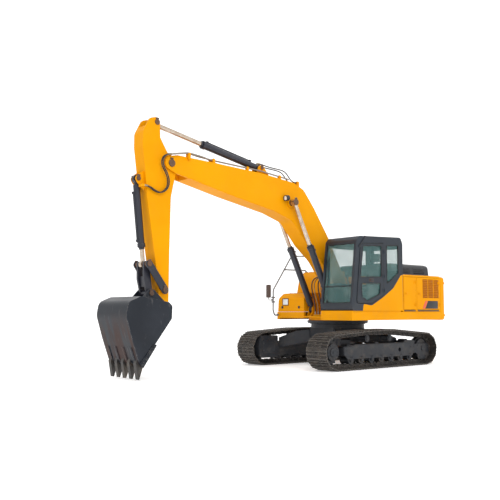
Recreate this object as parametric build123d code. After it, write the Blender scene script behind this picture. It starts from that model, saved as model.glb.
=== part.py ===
from build123d import *
import os
from math import atan2, cos, degrees, hypot, pi, radians, sin, tan

# Crawler excavator with a backhoe front, in millimetres.
# +X is forward along the boom, +Y is the cab side and +Z is up. Everything below is placed from the
# slew axis at ground level, and save() shifts it so that the origin is under the middle of the machine.

# ---- driving dimensions -------------------------------------------------------------------------
SLEW_X = -1741            # slew axis, from the part's origin

WHEELBASE_FRONT = 1580    # sprocket centre
WHEELBASE_REAR = -1590    # idler centre
WHEEL_Z = 400             # sprocket centre height
IDLER_Z = 385
GAUGE_HALF = 1170         # centre of each track
SHOE_WIDTH = 600
SHOE_COUNT = 45
SHOE_PLATE = 12
GROUSER = 26
LINK_HALF = 46            # half height of a track link
PITCH_RADIUS = 316        # chain pins round the sprocket
CARRIERS = (430, -370)    # carrier roller centres
ROLLERS = (-1080, -735, -390, -45, 300, 645, 990)
ROLLER_Z = 208            # lower roller centres

UPPER_HALF = 1380         # half width of the upper structure
DECK_Z = 1160             # top of the deck plate
SKIRT_LOW = 1075
SKIRT_HIGH = 1262
DECK_REAR = -2290
DECK_FRONT = 1030
HOOD_Z = 2150             # top of the side housing
TANK_Z = 2290             # top of the fuel tank
TANK_FRONT = 25
RAIL_Y = -1352            # guard rail, and its tube
RAIL_TUBE = 34
HOOD_REAR = -2270         # raised engine cover
HOOD_FRONT = -800
HOOD_RIGHT = -700
HOOD_LEFT = 1050
HOOD_TOP = 2440
HOOD_HINGE = (-2278, 2172)
DOOR_LOW = 1322           # service doors
DOOR_HIGH = 2092
DOOR_HINGE = 4
HINGE_RADIUS = 14         # cab door and hood hinge barrels
BAY_FRONT = -770          # housing's front, behind the cab
BAY_SEAM = -1292          # between the two left doors
BAY_REAR = -2275

CAB_INNER = 455           # cab wall beside the boom
CAB_OUTER = 1400
CAB_FLOOR = 1290
PANEL_DEPTH = 16          # side panel let into the cab wall
DOOR_AXIS = (-62, 1415)

BOOM_FOOT = (-86, 1657)
ARM_PIVOT = (5008, 4215)
BUCKET_PIVOT = (5137, 1308)
BOOM_CYL_BASE = (527, 1320)
BOOM_CYL_ROD = (1750, 3740)
BOOM_CYL_Y = 332
ARM_CYL_BASE = (2550, 4460)
ARM_CYL_ROD = (5330, 5000)
BUCKET_CYL_BASE = (5700, 3840)
LEVER_PIVOT = (5150, 1690)
LINK_TOP = (5515, 2185)
LINK_LOW = (5440, 1620)
BOOM_HALF = 210
ARM_HALF = 165
PLATE = 14                # girder plate
BUCKET_HALF = 560
PIVOT_PIN = 58            # pin through the boom tip and the arm
HOSE_FOOT = 1200          # hose block on the deck, and the one under the boom
HOSE_HEAD = 500


# ---- helpers ------------------------------------------------------------------------------------
def outline(rows):
    """Closed wire through rows of (x, z, corner radius): straight sides joined by tangent arcs."""
    edges = []
    sides = zip(rows[-1:] + rows[:-1], rows, rows[1:] + rows[:1])
    ends = []
    for before, corner, after in sides:
        point = Vector(corner[0], corner[1])
        back = (Vector(before[0], before[1]) - point)
        ahead = (Vector(after[0], after[1]) - point)
        half_angle = radians(back.get_angle(ahead)) / 2
        reach = corner[2] / tan(half_angle)
        start = point + back.normalized() * reach
        end = point + ahead.normalized() * reach
        inward = (back.normalized() + ahead.normalized()).normalized()
        middle = point + inward * (corner[2] / sin(half_angle) - corner[2])
        ends.append((start, middle, end))
    for number, (start, middle, end) in enumerate(ends):
        following = ends[(number + 1) % len(ends)][0]
        if (end - start).length > 0.01:
            edges.append(ThreePointArc(start, middle, end))
        if (following - end).length > 0.01:
            edges.append(Line(end, following))
    return Wire(edges)


def side_plate(rows, y_low, y_high):
    """Side-view outline (x, z, radius), made solid between two widths."""
    face = make_face(Plane.XZ.offset(-y_high) * outline(rows))
    return extrude(face, y_high - y_low, dir=(0, -1, 0))


def front_plate(rows, x_low, x_high):
    """Front-view outline (y, z, radius), made solid between two lengths."""
    face = make_face(Plane.YZ.offset(x_low) * outline(rows))
    return extrude(face, x_high - x_low, dir=(1, 0, 0))


def plan_plate(rows, z_low, z_high):
    """Plan outline (x, y, radius), made solid between two heights."""
    face = make_face(Plane.XY.offset(z_low) * outline(rows))
    return extrude(face, z_high - z_low, dir=(0, 0, 1))


def block(x_low, x_high, y_low, y_high, z_low, z_high):
    size = Box(x_high - x_low, y_high - y_low, z_high - z_low)
    return Pos((x_low + x_high) / 2, (y_low + y_high) / 2, (z_low + z_high) / 2) * size


def across(place, radius, y_low, y_high):
    """Cylinder along Y at a side-view point."""
    pin = Cylinder(radius, y_high - y_low)
    return Pos(place[0], (y_low + y_high) / 2, place[1]) * Rot(90, 0, 0) * pin


def between(start, end, y=0.0):
    """Location at a side-view point with its Z axis along the line to another one."""
    turn = degrees(atan2(end[0] - start[0], end[1] - start[1]))
    return Pos(start[0], y, start[1]) * Rot(0, turn, 0)


def span(start, end):
    return hypot(end[0] - start[0], end[1] - start[1])


def tube(points, radii, diameter):
    """Round bar or hose along straight runs joined by tangent arcs."""
    path = FilletPolyline(*points, radius=radii)
    section = Plane(origin=path @ 0, z_dir=path % 0) * Circle(diameter / 2)
    return sweep(section, path=path)


def save(name, *shapes):
    """Write one node, moved from the slew axis to the part's origin."""
    solids = []
    for shape in shapes:
        solids += list(shape) if isinstance(shape, (list, tuple)) else [shape]
    bodies = [solid for shape in solids for solid in shape.solids()]
    moved = [Pos(SLEW_X, 0, 0) * body for body in bodies]
    node = moved[0] if len(moved) == 1 else Compound(children=moved)
    export_step(node, f"parts/{name}.step")


# ---- undercarriage ------------------------------------------------------------------------------
def pin_path():
    """Corner points of the chain's pin line, going round sprocket, carriers and idler."""
    points = []
    for turn in range(-90, 91, 6):
        angle = radians(turn)
        points.append((WHEELBASE_FRONT + PITCH_RADIUS * cos(angle), WHEEL_Z + PITCH_RADIUS * sin(angle)))
    rise = 2 * WHEEL_Z - 15
    points += [(x, rise) for x in CARRIERS]
    idler_radius = PITCH_RADIUS - (WHEEL_Z - IDLER_Z)
    for turn in range(90, 271, 6):
        angle = radians(turn)
        points.append((WHEELBASE_REAR + idler_radius * cos(angle), IDLER_Z + idler_radius * sin(angle)))
    return points


def shoe_pins():
    """Evenly spaced pins along the pin path, as (x, z, direction of travel)."""
    corners = pin_path()
    runs = list(zip(corners, corners[1:] + corners[:1]))
    total = sum(span(a, b) for a, b in runs)
    pitch = total / SHOE_COUNT
    pins = []
    travelled = 0.0
    for a, b in runs:
        length = span(a, b)
        while len(pins) < SHOE_COUNT and len(pins) * pitch < travelled + length:
            part = (len(pins) * pitch - travelled) / length
            pins.append((a[0] + part * (b[0] - a[0]), a[1] + part * (b[1] - a[1])))
        travelled += length
    return pins


def closed_face(points):
    """Face in the X-Z plane inside a closed chain of (x, z) points."""
    return make_face(Plane.XZ * Polyline(*points, close=True))


# One shoe seen from the side: share of the pitch, height above the plate's outer face.
SHOE_PROFILE = (
    (0.03, 0), (0.05, GROUSER), (0.12, GROUSER), (0.15, 0),
    (0.47, 0), (0.49, GROUSER), (0.55, GROUSER), (0.57, 0),
    (0.86, 0), (0.89, GROUSER), (0.95, GROUSER), (0.97, 0),
)


def track(side):
    """Closed loop of triple-grouser shoes on two rows of links."""
    pins = shoe_pins()
    outer = []
    inner = []
    rail = []
    for (x0, z0), (x1, z1) in zip(pins, pins[1:] + pins[:1]):
        length = hypot(x1 - x0, z1 - z0)
        along = ((x1 - x0) / length, (z1 - z0) / length)
        out = (along[1], -along[0])
        for share, height in SHOE_PROFILE:
            lift = LINK_HALF + SHOE_PLATE + height
            outer.append((x0 + share * length * along[0] + lift * out[0],
                          z0 + share * length * along[1] + lift * out[1]))
        inner.append((x0 + 0.5 * length * along[0] + LINK_HALF * out[0],
                      z0 + 0.5 * length * along[1] + LINK_HALF * out[1]))
        rail.append((x0 + 0.5 * length * along[0] - LINK_HALF * out[0],
                     z0 + 0.5 * length * along[1] - LINK_HALF * out[1]))
    centre = side * GAUGE_HALF
    shoe_face = closed_face(outer) - closed_face(inner)
    shoes = Pos(0, centre + SHOE_WIDTH / 2, 0) * extrude(shoe_face, SHOE_WIDTH, dir=(0, -1, 0))
    raised = [((a[0] - b[0]) * 1.08 + b[0], (a[1] - b[1]) * 1.08 + b[1]) for a, b in zip(inner, rail)]
    rail_face = closed_face(raised) - closed_face(rail)
    loop = shoes
    for offset in (-85, 85):
        loop += Pos(0, centre + offset + 22, 0) * extrude(rail_face, 44, dir=(0, -1, 0))
    return loop


def side_frame(side):
    """Box beam with face plates that carry the roller shafts, idler guards and a tie-down hole."""
    centre = side * GAUGE_HALF
    beam = side_plate(((-1290, 312, 20), (1240, 312, 20), (1240, 500, 40), (820, 545, 60), (-860, 545, 40),
                       (-930, 590, 40), (-1290, 590, 30)), centre - 130, centre + 130)
    for offset in (-146, 130):
        near, far = centre + offset, centre + offset + 16
        beam += side_plate(((-1200, 232, 20), (1110, 232, 20), (1225, 330, 20), (1225, 480, 40), (820, 528, 60),
                            (-1200, 528, 20)), near, far)
        for x in ROLLERS:
            beam += hull_plate(((x, ROLLER_Z, 46), (x, ROLLER_Z + 60, 62)), near, far)
        beam += side_plate(((-1820, 250, 60), (-1740, 130, 60), (-1420, 130, 40), (-1330, 285, 30), (-1190, 285, 5),
                            (-1190, 490, 5), (-1330, 500, 20), (-1820, 500, 50)), near, far)
    return beam - across((-700, 385), 50, centre + side * 100 - 60, centre + side * 100 + 60)


def centre_frame():
    """X-shaped frame: slewing tub, centre box and four legs that slope down to the side frames."""
    body = block(-520, 560, -500, 500, 560, 900)
    body = chamfer(body.edges().filter_by(Axis.Z), 120)
    body += Pos(0, 0, 925) * Cylinder(640, 90)
    reach = GAUGE_HALF - 146
    for x_hub, x_foot in ((380, 850), (-380, -800)):
        for side in (-1, 1):
            sections = []
            # share of the way out, underside, top, half length
            for share, z_low, z_high, half in ((0, 570, 840, 180), (0.45, 480, 800, 165), (1, 400, 640, 150)):
                y = side * (400 + share * (reach - 400))
                x = x_hub + share * (x_foot - x_hub)
                plane = Plane(origin=(x, y, (z_low + z_high) / 2), x_dir=(1, 0, 0), z_dir=(0, side, 0))
                sections.append(plane * Rectangle(2 * half, z_high - z_low))
            body += loft(sections, ruled=True)
    return body


SPROCKET_TEETH = 21


def sprocket(side):
    """Toothed ring on a stepped final drive, with the travel motor's guard on the inner side."""
    centre = side * GAUGE_HALF
    axis = (WHEELBASE_FRONT, WHEEL_Z)
    points = []
    # tooth corners: share of the tooth pitch, radius
    for tooth in range(SPROCKET_TEETH):
        for share, radius in ((0.0, 268), (0.28, 268), (0.42, 305), (0.58, 305), (0.72, 268)):
            angle = 2 * pi * (tooth + share) / SPROCKET_TEETH
            points.append((axis[0] + radius * cos(angle), axis[1] + radius * sin(angle)))
    ring = Pos(0, centre + 28, 0) * extrude(closed_face(points), 56, dir=(0, -1, 0))
    outer = across(axis, 215, centre - 30, centre + 95) if side > 0 else across(axis, 215, centre - 95, centre + 30)
    step = (centre + 90, centre + 150) if side > 0 else (centre - 150, centre - 90)
    cap = across(axis, 178, *step)
    inner = sorted((centre - side * 20, centre - side * 142))
    drive = across(axis, 190, *inner)
    return ring + outer + cap + drive


def motor_guard(side):
    """Plate box round the travel motor, fixed to the inner face of the side frame."""
    near = GAUGE_HALF - 320
    low, high = sorted((side * near, side * (near + 178)))
    outer = side_plate(((1190, 180, 40), (1760, 180, 90), (1800, 440, 90), (1740, 700, 60), (1190, 700, 40)), low, high)
    low, high = sorted((side * (near + 170), side * (GAUGE_HALF - 130)))
    return outer + block(1200, 1239, low, high, 310, 480)


def rollers(side):
    """Seven lower rollers and two carrier rollers, each one turned piece on its shaft."""
    centre = side * GAUGE_HALF
    pieces = []
    for x in ROLLERS:
        pieces.append(flanged_roller((x, ROLLER_Z), 77, centre, 128))
    for x in CARRIERS:
        pieces.append(flanged_roller((x, 2 * WHEEL_Z - 15 - LINK_HALF - 72), 62, centre, 122))
    return pieces


def flanged_roller(axis, radius, centre, half):
    """Turned roller with a flange outside each rail."""
    body = across(axis, radius, centre - half, centre + half)
    body += across(axis, radius + 14, centre - half, centre - half + 14)
    body += across(axis, radius + 14, centre + half - 14, centre + half)
    return body


def idler(side):
    """Idler wheel with a raised centre rib and its sliding yoke."""
    centre = side * GAUGE_HALF
    axis = (WHEELBASE_REAR, IDLER_Z)
    wheel = across(axis, 226, centre - 105, centre + 105)
    wheel += across(axis, 262, centre - 55, centre + 55)
    yoke = block(-1480, -1290, centre - 128, centre + 128, 330, 450)
    return wheel + across(axis, 70, centre - 125, centre + 125) + yoke


def slew_ring():
    """Ball-race ring between the tub and the deck: wide upper race on a narrower lower one."""
    ring = Pos(0, 0, 1032) * Cylinder(730, 56) + Pos(0, 0, 990) * Cylinder(668, 28)
    return ring - Pos(0, 0, 1018) * Cylinder(470, 100)


# ---- upper structure ----------------------------------------------------------------------------
def platform():
    """Deck plate, two longitudinal webs, edge skirts, boom foot brackets and cylinder brackets."""
    deck = plan_plate(((DECK_REAR, -1330, 120), (DECK_REAR, 1330, 120), (DECK_FRONT, 1330, 30),
                       (DECK_FRONT, 430, 30), (760, 430, 20), (760, -430, 20), (720, -440, 5), (720, -1330, 30)),
                      DECK_Z - 30, DECK_Z)
    body = deck + Pos(0, 0, DECK_Z - 60) * Cylinder(700, 70)
    nose = ((650, DECK_Z - 10, 5), (650, 1180, 10), (592, 1262, 40), (600, 1402, 70), (454, 1402, 70))
    for side in (-1, 1):
        front = DECK_FRONT if side > 0 else 720
        skirt = sorted((side * (UPPER_HALF - 90), side * UPPER_HALF))
        body += block(DECK_REAR, front, *skirt, SKIRT_LOW, SKIRT_HIGH)
        if side > 0:
            body += block(-700, front, *skirt, SKIRT_HIGH - 20, CAB_FLOOR)
        web = sorted((side * 262, side * 286))
        body += side_plate(((-2200, DECK_Z - 10, 5), *nose, (400, 1330, 40), (160, 1660, 60), (40, 1800, 120),
                            (-210, 1800, 120), (-720, SKIRT_HIGH, 90), (-2200, SKIRT_HIGH, 5)), *web)
        outer = sorted((side * 384, side * 404))
        body += side_plate(((400, DECK_Z - 10, 5), *nose, (400, 1245, 30)), *outer)
        tie = sorted((side * 280, side * 390))
        body += block(420, 640, *tie, DECK_Z - 20, 1180)
    body += block(DECK_FRONT - 60, DECK_FRONT, 440, UPPER_HALF - 20, SKIRT_LOW, CAB_FLOOR)
    body += block(660, 720, -(UPPER_HALF - 20), -430, 1110, SKIRT_HIGH)
    body += block(570, 650, -190, 190, DECK_Z - 5, HOSE_FOOT)
    return body


def counterweight():
    """Cast block with a rounded back that closes the rear of the machine."""
    plan = ((DECK_REAR, -UPPER_HALF, 20), (DECK_REAR, UPPER_HALF, 20), (-2480, UPPER_HALF, 150), (-2705, 900, 500),
            (-2705, -900, 500), (-2480, -UPPER_HALF, 150))
    body = plan_plate(plan, 1060, 2135)
    body = fillet(body.faces().sort_by(Axis.Z)[-1].edges(), 70)
    body = fillet(body.faces().sort_by(Axis.Z)[0].edges().filter_by(lambda e: e.center().X < -2300), 60)
    return body


def engine_bay():
    """Housing behind the cab: roof with the engine opening, corner posts, sills and door openings."""
    body = block(BAY_REAR, BAY_FRONT, -UPPER_HALF, UPPER_HALF, SKIRT_HIGH + 5, HOOD_Z)
    long_edges = body.edges().filter_by(Axis.X).group_by(Axis.Z)[-1]
    body = fillet(long_edges, 45)
    body -= block(BAY_REAR + 30, BAY_FRONT - 30, -UPPER_HALF + 30, UPPER_HALF - 30, SKIRT_HIGH, HOOD_Z - 30)
    wall = (UPPER_HALF - 60, UPPER_HALF + 20)
    body -= block(BAY_SEAM + 25, BAY_FRONT - 25, *wall, DOOR_LOW - 8, DOOR_HIGH + 8)
    body -= block(BAY_REAR + 45, BAY_SEAM - 22, *wall, DOOR_LOW - 8, DOOR_HIGH + 8)
    body -= block(BAY_REAR + 45, BAY_SEAM + 145, -wall[1], -wall[0], DOOR_LOW - 8, DOOR_HIGH + 8)
    body -= block(HOOD_REAR + 60, HOOD_FRONT - 50, HOOD_RIGHT + 50, HOOD_LEFT - 50, HOOD_Z - 60, HOOD_Z + 60)
    return body


def engine_block():
    return block(-1850, -1000, -420, 380, 1340, 1960)


def radiator():
    return block(-2080, -1400, 1130, 1250, 1300, 2030)


def engine_hood():
    """Raised black engine cover with louvred sides, hinged along its rear edge."""
    low = HOOD_Z + 6
    body = front_plate(((HOOD_RIGHT, low, 5), (HOOD_LEFT, low, 5), (HOOD_LEFT - 30, HOOD_TOP, 110),
                        (HOOD_RIGHT + 30, HOOD_TOP, 110)), HOOD_REAR, HOOD_FRONT)
    body &= side_plate(((HOOD_REAR, low, 5), (HOOD_FRONT, low, 5), (HOOD_FRONT - 10, HOOD_TOP, 80),
                        (HOOD_REAR + 10, HOOD_TOP, 80)), HOOD_RIGHT - 20, HOOD_LEFT + 20)
    body -= front_plate(((HOOD_RIGHT + 35, low - 10, 5), (HOOD_LEFT - 35, low - 10, 5), (HOOD_LEFT - 65, HOOD_TOP - 32, 80),
                         (HOOD_RIGHT + 65, HOOD_TOP - 32, 80)), HOOD_REAR + 35, HOOD_FRONT - 35)
    for start in (HOOD_REAR + 190, HOOD_REAR + 770):
        for row in range(4):
            z = low + 50 + row * 42
            body -= block(start, start + 440, HOOD_RIGHT - 20, HOOD_LEFT + 20, z, z + 20)
    for y in (HOOD_RIGHT + 200, HOOD_LEFT - 300):
        body += across(HOOD_HINGE, HINGE_RADIUS, y, y + 100)
    return body


# Louvres of the rear left door: columns, rows, first edge, column pitch, width, top, row pitch, height.
GRILLE = (3, 11, -1549, 225, 205, 2055, 43, 26)


def side_door(x_low, x_high, side, grille=None):
    """Pressed service door with hinge barrels on its rear edge and, if it has one, a louvred grille."""
    low, high = sorted((side * (UPPER_HALF - 24), side * (UPPER_HALF + 2)))
    body = side_plate(((x_low, DOOR_LOW, 14), (x_high, DOOR_LOW, 14), (x_high, DOOR_HIGH, 14), (x_low, DOOR_HIGH, 14)),
                      low, high)
    if grille:
        columns, rows, start, pitch_x, width, top, pitch_z, height = grille
        for column in range(columns):
            for row in range(rows):
                x = start - column * pitch_x
                z = top - row * pitch_z
                body -= block(x - width, x, low - 10, high + 10, z - height, z)
    leaf = sorted((side * UPPER_HALF, side * (UPPER_HALF + 8)))
    for z in (DOOR_LOW + 90, DOOR_HIGH - 150):
        body += Pos(x_low + DOOR_HINGE, side * (UPPER_HALF + 12), z + 30) * Cylinder(11, 60)
        body += block(x_low + DOOR_HINGE, x_low + 60, *leaf, z, z + 60)
    return body


def fuel_tank():
    """Fuel tank with its filler cap, in front of the pump bay on the right."""
    body = side_plate(((-760, SKIRT_HIGH + 5, 10), (TANK_FRONT, SKIRT_HIGH + 5, 10), (TANK_FRONT - 4, 1760, 90),
                       (-60, 2120, 200), (-240, TANK_Z, 110), (-760, TANK_Z, 20)), -UPPER_HALF, -430)
    body += Pos(-430, -1050, TANK_Z + 20) * Cylinder(70, 60)
    return body


def toolbox():
    """Low box with a rounded nose at the right front corner, its lid seam and its lamp housing."""
    start = TANK_FRONT + 8
    side_view = side_plate(((start, SKIRT_HIGH + 5, 10), (700, SKIRT_HIGH + 5, 20), (700, 1600, 120),
                            (590, 1722, 80), (start, 1722, 10)), -UPPER_HALF + 5, -440)
    front_view = front_plate(((-UPPER_HALF + 5, SKIRT_HIGH, 5), (-UPPER_HALF + 30, 1560, 200),
                              (-1262, 1745, 90), (-430, 1745, 5), (-430, SKIRT_HIGH, 5)), start - 10, 760)
    body = side_view & front_view
    body -= block(694, 720, -1400, -400, 1370, 1380)
    body += block(690, 712, -1195, -985, 1425, 1590)
    body -= block(704, 730, -1182, -998, 1438, 1577)
    return body


def handrail():
    """Grey tube guard rail from the deck round the toolbox and back over the tank."""
    y = RAIL_Y
    rail = tube(((720, y, 1180), (840, y, 1180), (888, y, 1310), (880, y, 1810), (240, y, 2690), (-620, y, 2730),
                 (-695, y, 2600), (-695, y, TANK_Z)), (60, 70, 160, 160, 90, 200), RAIL_TUBE)
    branch = tube(((500, y, 2332), (-250, y, 2338), (-295, y, TANK_Z + 14)), (25,), RAIL_TUBE)
    foot = block(-330, -260, y - 24, y + 24, TANK_Z, TANK_Z + 16)
    return rail + branch + foot


def mirror_and_arm():
    """Right mirror on a bent arm clamped to the front upright of the rail."""
    x = 975
    y = RAIL_Y - 72
    clamp = block(862, 912, RAIL_Y - 40, RAIL_Y - RAIL_TUBE / 2, 1540, 1580)
    arm_bar = tube(((905, RAIL_Y - 28, 1560), (960, y + 20, 1552), (x, y, 1580), (x, y, 1640)), (14, 12), 16)
    head = block(x - 18, x + 18, y - 70, y + 70, 1615, 1940)
    head = fillet(head.edges().filter_by(Axis.X), 25)
    return clamp + arm_bar + head


def cab_frame():
    """Cab shell: floor, roof, posts and lower panels, hollow inside."""
    side = ((-740, CAB_FLOOR, 30), (1035, CAB_FLOOR, 60), (1050, 1480, 60), (872, 2860, 130), (780, 2960, 90),
            (-690, 3015, 90), (-765, 2870, 90))
    body = side_plate(side, CAB_INNER, CAB_OUTER)
    inner = ((-700, CAB_FLOOR + 60, 20), (985, CAB_FLOOR + 60, 20), (998, 1480, 40), (830, 2810, 80), (750, 2900, 50),
             (-670, 2955, 60), (-720, 2850, 60))
    body -= side_plate(inner, CAB_INNER + 35, CAB_OUTER - 35)
    body -= block(780, 1200, CAB_INNER + 60, CAB_OUTER - 60, 1455, 2800)
    body -= block(-900, -640, CAB_INNER + 80, CAB_OUTER - 80, 2230, 2760)
    body -= block(-560, 760, CAB_INNER - 20, CAB_INNER + 60, 1900, 2760)
    body -= side_plate(((-60, 1638, 40), (385, 1434, 170), (888, 1450, 40), (905, 1540, 40), (756, 2800, 60),
                        (-60, 2850, 40)), CAB_OUTER - 60, CAB_OUTER + 20)
    body -= side_plate(((-600, 2160, 40), (-160, 1890, 40), (-160, 2800, 40), (-600, 2830, 40)),
                       CAB_OUTER - 60, CAB_OUTER + 20)
    body -= side_plate(PANEL_SIDE, CAB_OUTER - PANEL_DEPTH, CAB_OUTER + 20)
    body += side_plate(((-450, 2980, 5), (330, 2950, 5), (330, 2997, 15), (-450, 3026, 15)), CAB_INNER + 190, CAB_OUTER - 190)
    return body


def side_panel_left():
    """Yellow side panel that rises in a curve under the door and the rear quarter window."""
    return side_plate(PANEL_SIDE, CAB_OUTER - PANEL_DEPTH, CAB_OUTER)


def cab_glass():
    """Windscreen, rear window, right window and left quarter window."""
    slope = ((1015, 1457, 2), (1025, 1457, 2), (860, 2798, 2), (850, 2798, 2))
    panes = [side_plate(slope, CAB_INNER + 62, CAB_OUTER - 62)]
    panes.append(block(-750, -740, CAB_INNER + 82, CAB_OUTER - 82, 2232, 2758))
    panes.append(block(-558, 758, CAB_INNER + 12, CAB_INNER + 20, 1902, 2758))
    panes.append(side_plate(((-597, 2165, 38), (-163, 1900, 38), (-163, 2796, 38), (-597, 2826, 38)),
                            CAB_OUTER - 24, CAB_OUTER - 16))
    return panes


def cab_seat():
    """Operator's seat with head rest on its pedestal, between two consoles."""
    seat = block(-260, 300, 700, 1180, 1700, 1840)
    seat += block(-380, -220, 700, 1180, 1800, 2420)
    seat += block(-370, -250, 800, 1080, 2420, 2640)
    seat += block(-200, 250, 760, 1120, CAB_FLOOR + 62, 1720)
    seat += block(-150, 350, 560, 690, CAB_FLOOR + 62, 1950)
    seat += block(-150, 350, 1190, 1300, CAB_FLOOR + 62, 1950)
    return seat


def exhaust():
    """Exhaust tail pipe beside the engine cover."""
    pipe = Pos(-1500, HOOD_RIGHT - 110, HOOD_Z + 160) * Cylinder(55, 320)
    return pipe - Pos(-1500, HOOD_RIGHT - 110, HOOD_Z + 250) * Cylinder(47, 200)


# Outline of the left side panel: x, z, corner radius.
PANEL_SIDE = (
    (690, CAB_FLOOR, 5), (660, 1440, 30), (385, 1405, 160), (-30, 1600, 300), (-395, 1810, 300), (-680, 2120, 40),
    (-742, 2125, 5), (-738, CAB_FLOOR, 5),
)

# Upper and lower pane of the door, seen from the side.
DOOR_PANES = (
    ((30, 2052, 50), (780, 2030, 50), (668, 2745, 50), (25, 2785, 50)),
    ((70, 1925, 40), (735, 1905, 40), (725, 1595, 60), (540, 1505, 60), (95, 1665, 60)),
)


def cab_door():
    """Door frame whose lower edge follows the side panel, with two window openings, handle and hinges."""
    rows = ((-50, 1646, 40), (385, 1446, 160), (880, 1462, 40), (895, 1540, 40), (747, 2790, 60), (-50, 2840, 40))
    body = side_plate(rows, CAB_OUTER - 30, CAB_OUTER + 8)
    for pane in DOOR_PANES:
        body -= side_plate(pane, CAB_OUTER - 80, CAB_OUTER + 50)
    for z in (1760, 2080, 2640):
        body += Pos(*DOOR_AXIS, z) * Cylinder(HINGE_RADIUS, 80)
        body += block(DOOR_AXIS[0], DOOR_AXIS[0] + 60, CAB_OUTER + 4, CAB_OUTER + 14, z - 40, z + 40)
    body += block(350, 430, CAB_OUTER + 5, CAB_OUTER + 30, 1962, 1992)
    return body


def cab_door_glass():
    return [side_plate(rows, CAB_OUTER - 20, CAB_OUTER - 12) for rows in DOOR_PANES]


# ---- boom, arm and their cylinders --------------------------------------------------------------
# Boom girder seen from the side: x, z, corner radius.
BOOM_SIDE = (
    (-240, 1690, 90), (500, 2990, 900), (1000, 3690, 300), (1330, 4080, 250), (1640, 4215, 250), (2600, 4310, 600),
    (3900, 4365, 900), (4880, 4395, 60), (5150, 4330, 120), (5165, 4130, 120), (4900, 4020, 90), (3560, 3740, 600),
    (2240, 3500, 500), (1700, 3330, 300), (1220, 2810, 300), (780, 2470, 500), (20, 1530, 90), (-210, 1540, 90),
)
BOOM_INSIDE = (
    (250, 2300, 60), (640, 2990, 300), (1090, 3610, 200), (1400, 3970, 150), (1650, 4100, 150), (3900, 4280, 300),
    (4560, 4300, 40), (4500, 4040, 40), (3540, 3820, 300), (2200, 3585, 200), (1650, 3430, 150), (1150, 2900, 150),
    (720, 2560, 60),
)


def boom():
    """Bent box girder with a forked tip, foot boss, cylinder bosses, the arm cylinder's ears and hose brackets."""
    body = side_plate(BOOM_SIDE, -BOOM_HALF, BOOM_HALF)
    body += across(BOOM_FOOT, 150, -257, 257)
    body -= side_plate(BOOM_INSIDE, -BOOM_HALF + PLATE, BOOM_HALF - PLATE)
    body -= block(4590, 5400, -ARM_HALF - 12, ARM_HALF + 12, 3700, 4600)
    body -= across(ARM_PIVOT, PIVOT_PIN + 1, -BOOM_HALF - 5, BOOM_HALF + 5)
    body += across(BOOM_CYL_ROD, 120, -232, 232)
    for side in (-1, 1):
        ear = sorted((side * 80, side * 108))
        body += side_plate(((2260, 4230, 5), (2700, 4290, 5), (2607, 4516, 54), (2493, 4516, 54)), *ear)
        body += across(ARM_CYL_BASE, 40, *sorted((side * 80, side * 130)))
    body += block(430, HOSE_HEAD, -190, 190, 2040, 2130)
    body += block(1380, 1440, -110, 110, 4090, 4290)
    return body


# The two steel pipes from the bend of the boom to its tip: x, y, z. The right one crosses to the left.
BOOM_PIPES = (
    ((1760, 150, 4290), (2600, 150, 4375), (3900, 150, 4425), (4330, 165, 4450), (4620, 192, 4478), (5068, 236, 4384)),
    ((1760, -150, 4290), (2600, -150, 4375), (3500, -150, 4412), (4200, 195, 4446), (4620, 226, 4478), (5053, 267, 4384)),
)


def boom_pipes():
    """Two steel pipes along the top of the boom to the hoses at its tip."""
    return [tube(route, (900, 900, 600, 600), 34) for route in BOOM_PIPES]


def hose(points, diameter):
    """Hose along a route of runs, each corner rounded as far as its two runs allow."""
    runs = [Vector(*end) - Vector(*start) for start, end in zip(points, points[1:])]
    radii = []
    for before, after in zip(runs, runs[1:]):
        half_turn = radians(before.get_angle(after)) / 2
        radii.append(0.45 * min(before.length, after.length) / tan(half_turn))
    print("hose", diameter, "mm: length", round(sum(run.length for run in runs)), "bends", [round(r) for r in radii])
    return tube(points, radii, diameter)


# Routes of the hoses: x, z from the deck up to the boom's underside.
BOOM_HOSE = ((610, 1200), (610, 1400), (655, 1610), (715, 1800), (712, 1950), (657, 2043), (575, 2085), (500, 2085))


def boom_hoses():
    """Four hoses in an arch between the boom cylinders: place across, and how far each leans out."""
    hoses = []
    for y, lean in ((-150, 12), (-52, 32), (48, 0), (150, 20)):
        route = [(x, y, z) for x, z in BOOM_HOSE[:2]]
        route += [(x + lean, y, z) for x, z in BOOM_HOSE[2:5]]
        route += [(x, y, z) for x, z in BOOM_HOSE[5:]]
        hoses.append(hose(route, 28))
    return hoses


# From the boom's tip down the arm's left face to the bucket cylinder's port: x, z, place across.
ARM_HOSE = (
    (5070, 4384, 236), (5190, 4360, 236), (5268, 4250, 236), (5252, 4116, 236), (5165, 3995, 236), (5098, 3860, 215),
    (5100, 3735, 195), (5170, 3640, 190), (5290, 3585, 190), (5415, 3622, 190), (5525, 3696, 190), (5640, 3696, 190),
)


def arm_hoses():
    """Two hoses that loop over the arm pivot to the bucket cylinder."""
    hoses = []
    for shift in (0, 31):
        route = [(x - shift * 0.5, y + shift, z) for x, z, y in ARM_HOSE[:-2]]
        route += [(x, y + shift, z) for x, z, y in ARM_HOSE[-2:]]
        hoses.append(hose(route, 26))
    return hoses


# From the bracket at the boom's bend to the arm cylinder's base: x, z.
CYLINDER_HOSE = ((1440, 4262), (1530, 4262), (1620, 4312), (1705, 4405), (1800, 4480), (1950, 4505), (2200, 4512),
                 (2400, 4532), (2530, 4560), (2640, 4552))


def arm_cylinder_hoses():
    """Two hoses above the boom to the arm cylinder's base."""
    return [hose([(x, y, z) for x, z in CYLINDER_HOSE], 26) for y in (-61, 61)]


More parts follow.
